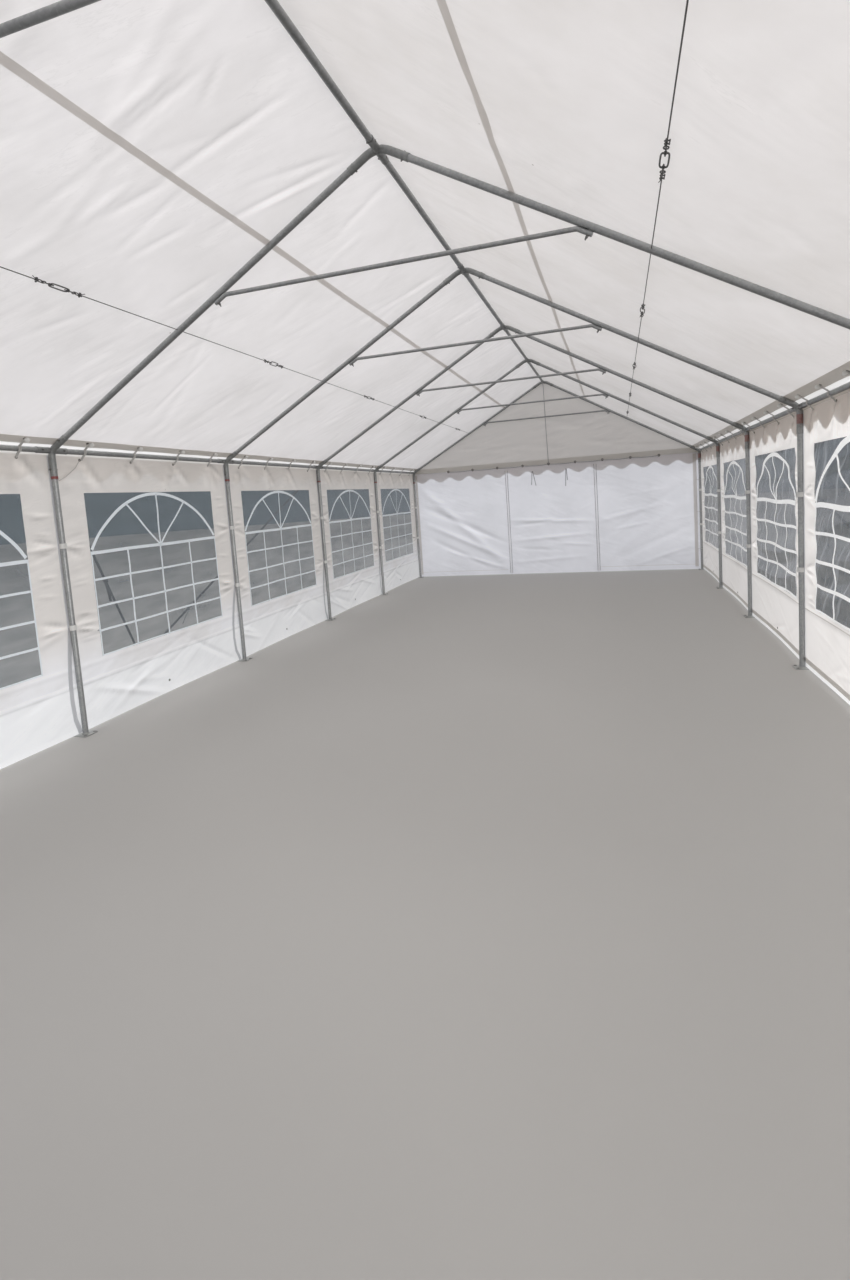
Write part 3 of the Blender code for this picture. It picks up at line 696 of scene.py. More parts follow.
def lay_grid(bm, us, vs, place, keep=None, slot=0, slot_of=None, flat=None):
    """Lay a grid of cloth: place(u, v) turns its lines into points, and its UVs are in metres."""
    columns, rows = len(us) - 1, len(vs) - 1
    verts = bmesh.ops.create_grid(bm, x_segments=columns, y_segments=rows, size=1.0)["verts"]
    grid_u = np.array(us)[[round((vert.co.x + 1) / 2 * columns) for vert in verts]]
    grid_v = np.array(vs)[[round((vert.co.y + 1) / 2 * rows) for vert in verts]]
    points = np.array(place(grid_u, grid_v))
    flat_u, flat_v = flat(*points) if flat else (grid_u, grid_v)
    spots = {vert: (flat_u[i], flat_v[i], grid_u[i], grid_v[i]) for i, vert in enumerate(verts)}
    layer = bm.loops.layers.uv.get("cloth") or bm.loops.layers.uv.new("cloth")
    away = []
    for face in {face for vert in verts for face in vert.link_faces}:
        middle_u = middle_v = 0.0
        for corner in face.loops:
            spot = spots[corner.vert]
            corner[layer].uv = spot[:2]
            middle_u += spot[2] / 4
            middle_v += spot[3] / 4
        face.material_index = slot_of(middle_u, middle_v) if slot_of else slot
        if keep and not keep(middle_u, middle_v):
            away.append(face)
    for vert, point in zip(verts, points.T):
        vert.co = point
    bmesh.ops.delete(bm, geom=away, context="FACES")


def cloth(name, us, vs, place, looks, stands=True, slot="white_coated_fabric", lean=None, **options):
    """One sheet of cloth as a piece of its own. lean gives its outward side and the way toward which its
    folds are painted brighter, kept as the attribute lean: painted light and shade.
    """
    bm = bmesh.new()
    lay_grid(bm, us, vs, place, **options)
    made = piece(name, bm, looks, stands, sharp=0)
    if lean:
        outward, painted_light_way = (np.array(way, float) for way in lean)
        normals = np.empty(3 * len(made.data.vertices))
        made.data.vertex_normals.foreach_get("vector", normals)
        normals = normals.reshape(-1, 3)
        if normals.mean(0) @ outward < 0:
            normals = -normals
        painted_light_lean = made.data.attributes.new("lean", "FLOAT", "POINT")
        painted_light_lean.data.foreach_set("value", normals @ painted_light_way)
    return made


def creases(us, vs, folds):
    """Soft folds over a sheet: each runs from (u0, v0) to (u1, v1) with a width and a height."""
    total = np.zeros(len(us))
    for u0, v0, u1, v1, width, height in folds:
        du, dv = u1 - u0, v1 - v0
        t = np.clip(((us - u0) * du + (vs - v0) * dv) / (du * du + dv * dv), 0, 1)
        off = np.hypot(us - u0 - t * du, vs - v0 - t * dv)
        total += height * np.exp(-((off / width) ** 2)) * np.sin(math.pi * (0.08 + 0.84 * t))
    return total


def scattered_folds(seed, count, u_range, v_range, length, slant, width, height):
    """Folds at random places, each near a slant from level, in radians."""
    pick = random.Random(seed)
    folds = []
    for _ in range(count):
        u, v = pick.uniform(*u_range), pick.uniform(*v_range)
        reach, angle = pick.uniform(*length) / 2, pick.uniform(*slant)
        du, dv = reach * math.cos(angle), reach * math.sin(angle)
        sign = pick.choice((-1, 1))
        folds.append((u - du, v - dv, u + du, v + dv, pick.uniform(*width), sign * pick.uniform(*height)))
    return folds


ROOF_FOLDS = {
    -1: scattered_folds(3, 110, (-6, 6), (0.2, 2.6), (0.2, 0.9), (1.1, 2.4), (0.013, 0.034), (0.002, 0.005)),
    1: scattered_folds(4, 70, (-6, 6), (0.25, 2.6), (0.2, 0.8), (-0.5, 0.6), (0.020, 0.05), (0.002, 0.004)),
}
CRUMPLES = ((-2.7, 1.30), (-3.1, 1.75), (-2.35, 1.95), (-3.4, 0.55), (-2.2, 0.35), (-0.9, 1.4), (-1.3, 0.7))
for y, distance in CRUMPLES:
    for row in range(6):
        start = (y + 0.02 * row, distance + 0.045 * row)
        end = (y + 0.15 + 0.03 * row, distance + 0.045 * row - 0.03)
        ROOF_FOLDS[-1].append((*start, *end, 0.010, 0.0022))
ROOF_FOLDS[-1] += [
    (-1.98, 0.02, -2.40, 0.90, 0.018, 0.008),
    (-1.94, 0.06, -2.27, 0.70, 0.015, -0.007),
    (-2.03, 0.06, -2.45, 0.62, 0.013, 0.007),
    (-2.68, 0.20, -2.86, 0.84, 0.016, 0.008),
    (-3.08, 0.38, -3.16, 0.82, 0.013, 0.007),
    (-3.17, 0.42, -3.23, 0.77, 0.013, -0.006),
    (-3.05, 0.28, -2.97, 0.48, 0.013, 0.005),
    (-2.82, 0.82, -2.95, 1.14, 0.013, 0.006),
    (-2.54, 0.96, -2.68, 1.28, 0.013, 0.006),
    (-2.11, 1.12, -2.22, 1.46, 0.013, 0.006),
    (-2.97, 0.94, -3.03, 1.24, 0.013, -0.005),
    (-0.10, 0.10, -0.45, 0.95, 0.016, 0.008),
    (-0.05, 0.12, -0.30, 0.70, 0.013, -0.005),
]
ROOF_FOLDS[1] += [
    (-2.50, 0.87, -3.10, 0.74, 0.022, 0.006),
    (-2.24, 0.93, -2.66, 0.78, 0.018, -0.004),
    (-3.02, 1.15, -3.23, 1.03, 0.018, 0.005),
    (-2.50, 2.21, -2.69, 2.08, 0.018, 0.005),
]


def swell_of(ys):
    """How free the cloth is along the tent: 0 at a portal, and 1 midway between two."""
    return np.abs(np.sin(math.pi * (ys + HALF_LENGTH) / BAY))


def roof_lift(side, ys, distances):
    """How far the cover stands off the rafters' plane."""
    free = swell_of(ys)
    along = np.clip(distances / EAVE_TURN, 0, 1)
    sag = -0.012 * free**1.3 * np.sin(math.pi * along) ** 0.8
    on_wire = 1 - 0.85 * np.exp(-(((distances - WIRE_DOWN) / 0.07) ** 2))
    pulled = 0.0022 * np.cos(4 * math.pi * ys) * np.exp(-(EAVE_TURN - distances) / 0.16)
    folds = creases(ys, distances, ROOF_FOLDS[side]) * np.clip(free * 3, 0, 1)
    return COVER_LIFT + (sag + folds) * on_wire + np.clip(pulled, -0.002, 1)


def scallop(along, length):
    """The lower edge of a valance: whole rounded lobes over its length, and rounded notches."""
    lobe = np.abs(np.sin(math.pi * along / length * round(length / LOBE)))
    return VALANCE_VALLEY + (VALANCE_TIP - VALANCE_VALLEY) * lobe**1.7


def roof_point(ys, across):
    """The cover's point at a signed distance over the roof: past the eave it hangs straight."""
    side = np.sign(across)
    distance = np.abs(across)
    slope = np.clip(distance, 0, EAVE_TURN)
    lift = np.where(side < 0, roof_lift(-1, ys, slope), roof_lift(1, ys, slope))
    bend = SLOPE * np.clip(slope / BEND_REACH, 0, 1)
    straight = np.clip(slope - BEND_REACH, 0, None)
    x = side * ((BEND_R + lift) * np.sin(bend) + straight * math.cos(SLOPE))
    z = BEND_CENTRE_Z + (BEND_R + lift) * np.cos(bend) - straight * math.sin(SLOPE)
    hang = np.clip((distance - EAVE_TURN) / 0.25, 0, 1)
    turn = np.clip((distance - EAVE_TURN) / 0.01, 0, 1)
    flare = 0.006 + 0.004 * np.sin(ys * 7.1 + side) + 0.003 * np.sin(ys * 17.0 + 2 * side)
    hung_x = VALANCE_X + 0.002 + flare * hang**2
    x = np.where(distance > EAVE_TURN, side * (np.abs(x) * (1 - turn) + hung_x * turn), x)
    edge = scallop(ys + COVER_END, 2 * COVER_END)
    z = np.where(distance > EAVE_TURN, z + (edge - z) * hang, z)
    return x, ys, z


def roof_slot(y, across):
    """The finish of a spot of the cover: a slope, the single edge below its hem, or the valance."""
    if abs(across) > EAVE_TURN:
        return 3 if across > 0 else 4
    return 2 if abs(across) > EDGE_FROM else int(across > 0)


eave_lines = (EDGE_FROM, EAVE_TURN, EAVE_TURN + 0.01, EAVE_TURN + 0.25)
left_lines = [-line for line in eave_lines[::-1]]
lines = steps(*left_lines, -BEND_REACH, 0, BEND_REACH, pitch=0.026)
lines += steps(BEND_REACH, *eave_lines, pitch=0.036)[1:]
# The lobes in view are finer than those at the back
fine_end = -COVER_END + 13 * 2 * COVER_END / 34
along_tent = list(np.linspace(-COVER_END, fine_end, 13 * 18 + 1))
along_tent += list(np.linspace(fine_end, COVER_END, 21 * 10 + 1))[1:]
roof_looks = [left_roof, right_roof, edge_cloth, valance_cloth, left_valance]
# The cover's folds that face the back end are painted brighter and those facing the front darker: painted
# light and shade
painted_light_way = ((0, 0, 1), (0, 1, 0))
roof_cover = cloth("roof_cover", along_tent, lines, roof_point, roof_looks, lean=painted_light_way, slot_of=roof_slot)


def under_roof(side, drop, ys, distances):
    """A point of a ribbon that is welded along the underside of one slope."""
    lift = roof_lift(side, ys, distances) - drop
    x = side * (distances * math.cos(SLOPE) + lift * math.sin(SLOPE))
    return x, ys, RIDGE_Z - distances * math.sin(SLOPE) + lift * math.cos(SLOPE)


for side, word in SIDES:
    upper, lower = (2.765, 2.838) if side < 0 else (2.735, 2.825)
    for name, start, end, drop, look in (
        (f"roof_seam_{word}", 0.788, 0.824, 0.0028, seam_cloth),
        (f"eave_hem_{word}", upper, lower, 0.0034, hem_cloth),
    ):
        place = partial(under_roof, side, drop)
        rows = [start, (start + end) / 2, end]
        cloth(name, along_tent, rows, place, [look], stands=False)

# Gable panels
# A triangle of the same cloth closes each end over the end wall. Its lower edge is a
# scalloped valance, and a doubled band carries the eyelets that the wall laces to.
GABLE_Y = 6.0285
GABLE_REACH = 2.526
GABLE_CROWN = BEND_R + 0.0225
VALANCE_SEAM = 1.965
BAND_ZS = [1.955, 2.00, 2.055]
ENDS = ((-1, "front"), (1, "back"))
gable_cloth = cloth_finish(
    "white_gable_cloth", (0.78, 0.76, 0.74), (0.72, 0.69, 0.66), (0.62, 0.59, 0.57), 0.45, slant=0.2
)
GABLE_FOLDS = scattered_folds(
    7, 26, (-2.0, 2.0), (2.1, 3.1), (0.4, 1.2), (-0.25, 0.35), (0.02, 0.05), (0.002, 0.005)
)


def gable_top(xs):
    bend = np.arcsin(np.clip(np.abs(xs) / GABLE_CROWN, 0, math.sin(SLOPE)))
    straight = np.clip(np.abs(xs) - GABLE_CROWN * math.sin(SLOPE), 0, None)
    return BEND_CENTRE_Z + GABLE_CROWN * np.cos(bend) - straight * math.tan(SLOPE)


def gable_point(end, xs, zs, out=0.0):
    """A point of the gable cloth. It stays in its plane at the rafters and below the eaves."""
    free = np.clip((gable_top(xs) - zs) / 0.25, 0, 1) * np.clip((zs - 2.03) / 0.2, 0, 1)
    flare = np.clip((1.96 - zs) / 0.17, 0, 1) ** 2 * (0.006 + 0.003 * np.sin(9 * xs + end))
    folds = creases(xs, zs, GABLE_FOLDS) * free + 0.006 * free
    return xs, end * (GABLE_Y + folds + flare + out), zs


def gable_place(end, xs, shares):
    """Shares from 0 to 1 lie down the valance, and from 1 to 2 up to the rafters."""
    lower = scallop(xs + GABLE_REACH, 2 * GABLE_REACH)
    hung = lower + (VALANCE_SEAM - lower) * shares
    raised = VALANCE_SEAM + (gable_top(xs) - VALANCE_SEAM) * (shares - 1)
    return gable_point(end, xs, np.where(shares < 1, hung, raised))


def flat_end(xs, ys, zs):
    return xs, zs


band_xs = list(np.linspace(-GABLE_REACH, GABLE_REACH, 14 * 12 + 1))
gable_shares = list(np.linspace(0, 1, 9)) + list(np.linspace(1, 2, 44))[1:]
for end, word in ENDS:
    gable = cloth(
        f"gable_panel_{word}",
        band_xs,
        gable_shares,
        partial(gable_place, end),
        [gable_cloth, valance_cloth],
        flat=flat_end,
        slot_of=lambda x, share: 1 if share < 1 else 0,
        lean=((0, end, 0), (0.7, 0, 0.7)),
    )
    inside = partial(gable_point, end, out=-0.0012)
    band = cloth(f"gable_band_{word}", band_xs, BAND_ZS, inside, [hem_cloth], stands=False, flat=flat_end)

# Side walls
# Each side is closed by a wall of the same cloth. On the left the upper wall is painted
# darker and tan as painted shade, and its foot and skirt paler and bluer as painted light.
# It hangs from the eave purlin and is strapped to each post twice.
WALL_X = 2.5240
WALL_REACH = 6.0253
WALL_TOP = 1.970
WALL_BOTTOM = 0.012
WINDOW_HALF = 0.745
WINDOW_LOW = 0.50
WINDOW_HIGH = 1.71
SKIRT_TOP = 0.47
SEAM_Z = 0.35
HEM_TOP = 0.045
STRAP_ZS = (1.345, 0.77)
LOOP_YS = [y + 0.25 + 0.5 * i for y in PORTAL_YS[:-1] for i in range(4)]
hem_white = cloth_finish("bright_hem_cloth", (0.90, 0.90, 0.90), (0.84, 0.84, 0.84), (1.0, 1.0, 1.0), 0.85)
# The left wall is a copy of the right wall's cloth: darker and tan above as painted shade, and paler and
# bluer towards its foot and on its skirt as painted light
shaded_left_wall = cloth_finish(
    "left_wall_cloth",
    (0.81, 0.79, 0.765),
    (0.74, 0.715, 0.69),
    (0.83, 0.79, 0.755),
    0.40,
    foot=(0.95, 0.955, 0.98),
    slant=0.2,
)
lit_left_skirt = cloth_finish(
    "left_skirt_cloth", (0.92, 0.93, 0.95), (0.86, 0.865, 0.88), (1.0, 1.0, 1.0), 0.70, slant=0.45
)
right_wall = cloth_finish(
    "right_wall_cloth", (0.88, 0.86, 0.85), (0.86, 0.83, 0.81), (1.0, 0.975, 0.96), 0.74,
    slant=0.2, wrinkle=0.5,
)
side_cloths = {-1: [shaded_left_wall, lit_left_skirt, hem_white], 1: [right_wall, right_wall, hem_white]}


def smooth(values):
    values = np.clip(values, 0, 1)
    return values * values * (3 - 2 * values)


def wall_folds(seed, skirt):
    """The folds of one side wall: they spread from its straps and its loops, and over its skirt."""
    pick = random.Random(seed)
    folds = []
    for y in PORTAL_YS:
        for z in STRAP_ZS:
            for way in (-1, 1):
                for rise in (0.07, -0.01, -0.09):
                    reach = pick.uniform(0.16, 0.27)
                    end_z = z + rise + pick.uniform(-0.02, 0.02)
                    height = pick.choice((-1, 1)) * pick.uniform(0.009, 0.015)
                    width = pick.uniform(0.011, 0.016)
                    folds.append((y + way * 0.01, z, y + way * reach, end_z, width, height))
    for y in LOOP_YS:
        for lean in (-0.09, -0.03, 0.04, 0.10):
            foot = WALL_TOP - pick.uniform(0.12, 0.27)
            folds.append((y, WALL_TOP, y + 1.7 * lean, foot, 0.018, pick.choice((-1, 1)) * 0.013))
    for y in PORTAL_YS:
        for way in (-1, 1):
            for _ in range(9):
                z, lift = pick.uniform(0.52, 1.66), pick.uniform(-0.03, 0.03)
                start, end = pick.uniform(0.03, 0.10), pick.uniform(0.16, 0.25)
                height = pick.uniform(0.004, 0.007)
                folds.append((y + way * start, z, y + way * end, z + lift, 0.009, height))
    for y in PORTAL_YS[:-1]:
        for _ in range(14):
            start, z = y + pick.uniform(0.1, 1.9), pick.uniform(0.10, 0.42)
            angle, reach = pick.choice((-1, 1, 1, 1)) * pick.uniform(0.15, 0.6), pick.uniform(0.3, 0.9)
            du, dv = reach * math.cos(angle) / 2, reach * math.sin(angle) / 2
            width = pick.uniform(0.011, 0.024)
            folds.append((start - du, z - dv, start + du, z + dv, width, skirt * pick.uniform(-1, 1)))
    return folds


WALL_FOLDS = {-1: wall_folds(11, 0.007), 1: wall_folds(12, 0.003)}


def side_point(side, ys, zs, out=0.0):
    """A point of a side wall. The cloth lies against the posts and swells between them."""
    free = swell_of(ys)
    swell = 0.011 * free**1.5 * smooth((1.80 - zs) / 0.8) + 0.008 * free * np.exp(-zs / 0.12)
    folds = creases(ys, zs, WALL_FOLDS[side]) * np.clip(free * 5, 0, 1)
    # Behind the cover's valance the folds stay low
    folds = np.minimum(folds, 0.0035 + 0.03 * (1 - smooth((zs - 1.76) / 0.04)))
    seam = 0.0025 * np.exp(-(((zs - SKIRT_TOP) / 0.016) ** 2))
    if side < 0:
        seam += 0.005 * np.exp(-(((zs - SEAM_Z) / 0.008) ** 2))
    slack = (0.0015 if side < 0 else 0.0115) * free * smooth((zs - 0.42) / 0.2) * smooth((1.80 - zs) / 0.2)
    seam += slack * (1 + np.sin(23 * zs + 2.5 * np.sin(1.7 * ys) + 2.0 * ys))
    fade = np.clip((6.01 - np.abs(ys)) / 0.1, 0, 1)
    top = np.clip((WALL_TOP + 0.004 - zs) / 0.02, 0.2, 1)
    return side * (WALL_X + (swell + folds * top + seam) * fade + out), ys, zs


def flat_side(xs, ys, zs):
    return ys, zs


def in_window(y, z, rim=0.0):
    """Whether a spot of a side wall lies in one of its windows, or in a rim round it."""
    off_middle = (y + HALF_LENGTH) % BAY - BAY / 2
    return abs(off_middle) < WINDOW_HALF + rim and WINDOW_LOW - rim < z < WINDOW_HIGH + rim


window_edges = [y + BAY / 2 + way * WINDOW_HALF for y in PORTAL_YS[:-1] for way in (-1, 1)]
seam_zs = (SEAM_Z - 0.012, SEAM_Z, SEAM_Z + 0.012)
wall_ys = steps(-WALL_REACH, *window_edges, WALL_REACH, pitch=0.034)
wall_zs = steps(WALL_BOTTOM, HEM_TOP, *seam_zs, WINDOW_LOW, WINDOW_HIGH, WALL_TOP, pitch=0.011)
for side, word in SIDES:
    cloth(
        f"side_wall_{word}",
        wall_ys,
        wall_zs,
        partial(side_point, side),
        side_cloths[side],
        keep=lambda y, z: not in_window(y, z),
        slot_of=lambda y, z: 2 if z < HEM_TOP else int(z < SEAM_Z),
        flat=flat_side,
        lean=((side, 0, 0), (0, 0.6, 0.8)),
    )

# Windows
# A clear plastic film is welded behind each opening of the side walls. White strips
# on the film draw an arched window with small panes.
FILM_REACH = 5.765
FILM_RIM = 0.02
SPRING_Z = 1.27
ARCH_RISE = 0.425
BAR_ZS = (1.07, 0.87, 0.69)
PANE = 0.3725
RAY = 0.50
WIDE_STRIP = 0.030
NARROW_STRIP = 0.020
RIM_STRIP = 0.014


def film_finish(name, clear, hazy, creased):
    """A clear film in diagonal creases. Its haze hides from clear to hazy of what lies behind."""
    made, tree, shader = surface(name)
    spot = node(tree, "TexCoord").outputs["Object"]
    stretched = node(tree, "Mapping", {"Vector": spot, "Scale": (1.0, 1.2, 5.0)}).outputs[0]
    haze = node(tree, "TexNoise", {"Vector": stretched, "Scale": 2.0, "Detail": 2.0}).outputs["Fac"]
    haze = remap(tree, haze, 0.35, 0.75, clear, hazy)
    along = {"Vector": spot, "Rotation": (-0.95, 0.0, 0.0), "Scale": (1.0, 1.0, 0.07)}
    diagonal = node(tree, "Mapping", along, vector_type="TEXTURE").outputs[0]
    streak = node(tree, "TexNoise", {"Vector": diagonal, "Scale": 1.6, "Detail": 4.0}).outputs["Fac"]
    streak = remap(tree, streak, 0.52, 0.78, 0.0, creased)
    ripple = node(tree, "TexNoise", {"Vector": spot, "Scale": 9.0, "Detail": 1.0}).outputs["Fac"]
    bump = node(tree, "Bump", {"Height": ripple, "Strength": 0.35, "Distance": 0.01}).outputs[0]
    # Only the camera's view of it is hazy, and less so from outside
    seen = node(tree, "LightPath").outputs["Is Camera Ray"]
    inside = node(tree, "NewGeometry").outputs["Backfacing"]
    haze = maths(tree, "MULTIPLY", haze, remap(tree, seen, 0.0, 1.0, 0.1, 1.0))
    haze = maths(tree, "MULTIPLY", haze, remap(tree, inside, 0.0, 1.0, 0.55, 1.0))
    tint = blend(tree, streak, (0.13, 0.16, 0.185, 1), (0.54, 0.58, 0.62, 1))
    fill(tree, shader, {"Roughness": 0.16, "Base Color": tint, "Alpha": haze, "Normal": bump})
    return made


def lay_ribbon(bm, path, width, place, slot=0, pitch=0.04):
    """Lay a flat strip along a path of (u, v) points of a wall."""
    dense = [Vector(path[0])]
    for start, end in zip(path, path[1:]):
        start, end = Vector(start), Vector(end)
        count = max(1, round((end - start).length / pitch))
        dense += [start.lerp(end, i / count) for i in range(1, count + 1)]
    line = np.array([(p.x, p.y) for p in dense])
    ahead = np.gradient(line, axis=0)
    ahead /= np.hypot(*ahead.T)[:, None]
    normal = np.stack((-ahead[:, 1], ahead[:, 0]), axis=1)
    lengths = np.concatenate(((0,), np.cumsum(np.hypot(*np.diff(line, axis=0).T))))

    def beside(along, aside):
        i = np.searchsorted(lengths, along - 1e-9)
        spots = line[i] + normal[i] * aside[:, None]
        return place(spots[:, 0], spots[:, 1])

    lay_grid(bm, list(lengths), [-width / 2, 0.0, width / 2], beside, slot=slot)


def strip_point(side, number, index, us, zs):
    """A point of a window strip, which wavers a little with the slack film."""
    slack = 0.010 if side > 0 else 0.003
    loose = np.clip((WINDOW_HALF - np.abs(us)) / 0.1, 0, 1)
    us = us + slack * np.sin(23.0 * zs + 2.1 * number + 0.6 * index) * loose
    zs = zs + 0.6 * slack * np.sin(6.5 * us + 1.3 * number + index) * loose
    return side_point(side, us + PORTAL_YS[number] + BAY / 2, zs, -0.0010 - 0.00006 * index)


films = {
    -1: film_finish("left_window_film", 0.55, 0.74, 0.12),
    1: film_finish("right_window_film", 0.74, 0.90, 1.0),
}
# The strips are the same white print on both sides: the left copy is greyer and bluer, as painted shade
strip_whites = {
    -1: cloth_finish(
        "left_window_strip", (0.80, 0.84, 0.87), (0.74, 0.78, 0.81), (0.84, 0.89, 0.92), 0.45, 0.2
    ),
    1: cloth_finish("right_window_strip", (0.95, 0.96, 0.97), (0.92, 0.93, 0.94), (1.0, 1.0, 1.0), 0.82, 0.2),
}
arch_r = (WINDOW_HALF**2 + ARCH_RISE**2) / (2 * ARCH_RISE)
arch_z = SPRING_Z + ARCH_RISE - arch_r
arch_half = math.asin((WINDOW_HALF - RIM_STRIP) / arch_r)
arch_angles = np.linspace(-arch_half, arch_half, 33)
crown = SPRING_Z + ARCH_RISE
jamb = WINDOW_HALF - 0.006
sill = WINDOW_LOW + 0.006
bars = [([(arch_r * math.sin(a), arch_z + arch_r * math.cos(a)) for a in arch_angles], WIDE_STRIP)]
bars.append(([(-WINDOW_HALF, SPRING_Z), (WINDOW_HALF, SPRING_Z)], WIDE_STRIP))
bars += [([(-WINDOW_HALF, z), (WINDOW_HALF, z)], NARROW_STRIP) for z in BAR_ZS]
bars += [([(u, SPRING_Z), (u, WINDOW_LOW)], NARROW_STRIP) for u in (-PANE, 0.0, PANE)]
bars.append(([(0, SPRING_Z), (0, crown)], NARROW_STRIP))
bars += [([(0, SPRING_Z), (way * RAY * 0.70, SPRING_Z + RAY * 0.71)], NARROW_STRIP) for way in (-1, 1)]
bars += [([(way * jamb, SPRING_Z), (way * jamb, WINDOW_LOW)], RIM_STRIP) for way in (-1, 1)]
bars.append(([(-WINDOW_HALF, sill), (WINDOW_HALF, sill)], RIM_STRIP))
film_ys = steps(-FILM_REACH, *window_edges, FILM_REACH, pitch=0.026)
film_zs = steps(WINDOW_LOW - FILM_RIM, WINDOW_LOW, WINDOW_HIGH, WINDOW_HIGH + FILM_RIM, pitch=0.026)
for side, word in SIDES:
    film = cloth(
        f"window_film_{word}",
        film_ys,
        film_zs,
        partial(side_point, side, out=0.0018),
        [films[side]],
        slot="clear_window_film",
        keep=partial(in_window, rim=FILM_RIM),
        flat=flat_side,
    )
    bm = bmesh.new()
    for index, (path, width) in enumerate(bars):
        width *= 1.2 if side > 0 else 0.8
        for number in range(6):
            lay_ribbon(bm, path, width, partial(strip_point, side, number, index), pitch=0.025)
    strips = piece(f"window_strips_{word}", bm, [strip_whites[side]], sharp=0)

# End walls and doors
# Each end wall is one sheet of cloth with a door in its middle, zipped down both of
# its sides. The back door is shut, and the front one is rolled up and tied.
END_Y = 6.0240
END_REACH = 2.5225
DOOR_HALF = 0.775
DOOR_HEAD = 1.90
ZIP_XS = (-0.74, 0.82)
FOOT_SEAM = 0.095
END_FOLDS = [
    (-2.45, 1.75, -0.85, 0.22, 0.070, 0.012),
    (-2.40, 1.35, -1.10, 0.75, 0.050, -0.013),
    (-2.30, 1.00, -0.82, 0.30, 0.045, 0.013),
    (-2.20, 0.70, -1.20, 0.18, 0.040, -0.010),
    (-1.90, 0.48, -0.80, 0.10, 0.030, 0.010),
    (-1.60, 0.95, -0.80, 0.60, 0.035, -0.007),
    (-0.70, 1.00, 0.75, 0.92, 0.030, 0.013),
    (-0.65, 0.90, 0.30, 0.98, 0.025, -0.009),
    (-0.70, 0.62, 0.70, 0.70, 0.030, 0.010),
    (-0.60, 0.48, 0.20, 0.42, 0.025, -0.007),
    (0.10, 0.55, 0.75, 0.50, 0.022, 0.007),
    (-0.72, 0.22, 0.60, 0.30, 0.030, 0.007),
    (0.85, 0.12, 2.40, 1.30, 0.080, 0.020),
    (0.90, 0.60, 2.20, 1.45, 0.055, -0.013),
    (0.85, 0.90, 1.90, 1.15, 0.040, 0.011),
    (1.20, 0.25, 2.40, 0.80, 0.050, -0.011),
    (1.10, 0.75, 1.70, 0.85, 0.022, 0.007),
    (1.50, 0.12, 2.35, 0.42, 0.035, 0.010),
]
END_FOLDS += scattered_folds(
    21, 40, (-2.4, 2.4), (0.1, 1.7), (0.2, 0.8), (-0.5, 0.5), (0.014, 0.03), (0.001, 0.003)
)
zip_tape = cloth_finish("grey_zip_tape", (0.42, 0.42, 0.44), (0.30, 0.30, 0.31), (0.30, 0.30, 0.32), 0.3)
end_cloth = cloth_finish(
    "white_end_cloth", (0.83, 0.835, 0.87), (0.78, 0.785, 0.82), (0.955, 0.955, 1.0), 0.68, slant=-0.35
)


def end_point(end, xs, zs, out=0.0):
    """A point of an end wall, which swells outward between its corner posts."""
    span = np.clip(1 - (xs / HALF_WIDTH) ** 2, 0, 1)
    swell = 0.020 * span * smooth((1.80 - zs) / 0.9)
    folds = creases(end * xs, zs, END_FOLDS)
    free = np.clip(span * 6, 0, 1) * np.clip((1.93 - zs) / 0.15, 0, 1)
    return xs, end * (END_Y + swell + folds * free + 0.002 * free + out), zs


end_xs = steps(-END_REACH, -DOOR_HALF, DOOR_HALF, END_REACH, pitch=0.020)
end_zs = steps(WALL_BOTTOM, 0.05, DOOR_HEAD, WALL_TOP, pitch=0.020)
for end, word in ENDS:
    wall = cloth(
        f"end_wall_{word}",
        end_xs,
        end_zs,
        partial(end_point, end),
        [end_cloth],
        keep=lambda x, z: abs(x) > DOOR_HALF or z > DOOR_HEAD,
        flat=flat_end,
        lean=((0, end, 0), (0.8 * end, 0, 0.6)),
    )
    # Zip covers, with a dark tape along both edges of each, a seam at the foot, and side hems
    bm = bmesh.new()
    over = partial(end_point, end, out=-0.0030)
    under = partial(end_point, end, out=-0.0018)
    zip_strips = ((0, 0.034, over, 2), (-0.019, 0.010, under, 1), (0.019, 0.010, under, 1))
    for x in ZIP_XS:
        for aside, width, place, slot in zip_strips:
            lay_ribbon(bm, [(x + aside, 0.03), (x + aside, DOOR_HEAD + 0.01)], width, place, slot)
    for start, stop in ((-2.44, -0.80), (0.85, 2.44)):
        lay_ribbon(bm, [(start, FOOT_SEAM), (stop, FOOT_SEAM)], 0.006, under, 3)
    for x, width in ((end * 2.425, 0.055), (-end * 2.462, 0.040)):
        lay_ribbon(bm, [(x, 0.055), (x, 1.955)], width, over, 3)
    looks = [end_cloth, zip_tape, hem_white, seam_cloth]
    trims = piece(f"end_wall_trims_{word}", bm, looks, sharp=0)

door = cloth(
    "end_door_back",
    steps(-DOOR_HALF, DOOR_HALF, pitch=0.020),
    steps(WALL_BOTTOM, 0.05, DOOR_HEAD, pitch=0.020),
    partial(end_point, 1, out=0.0006),
    [end_cloth],
    flat=flat_end,
    lean=((0, 1, 0), (0.8, 0, 0.6)),
)

ROLL_Y = -5.9690
ROLL_Z = 1.910
ROLL_TURNS = 8.3
ROLL_CORE = 0.019
ROLL_GROWTH = 0.033
DOOR_LENGTH = 1.89
TIE_LINES = [-0.0095, 0.0, 0.0095]


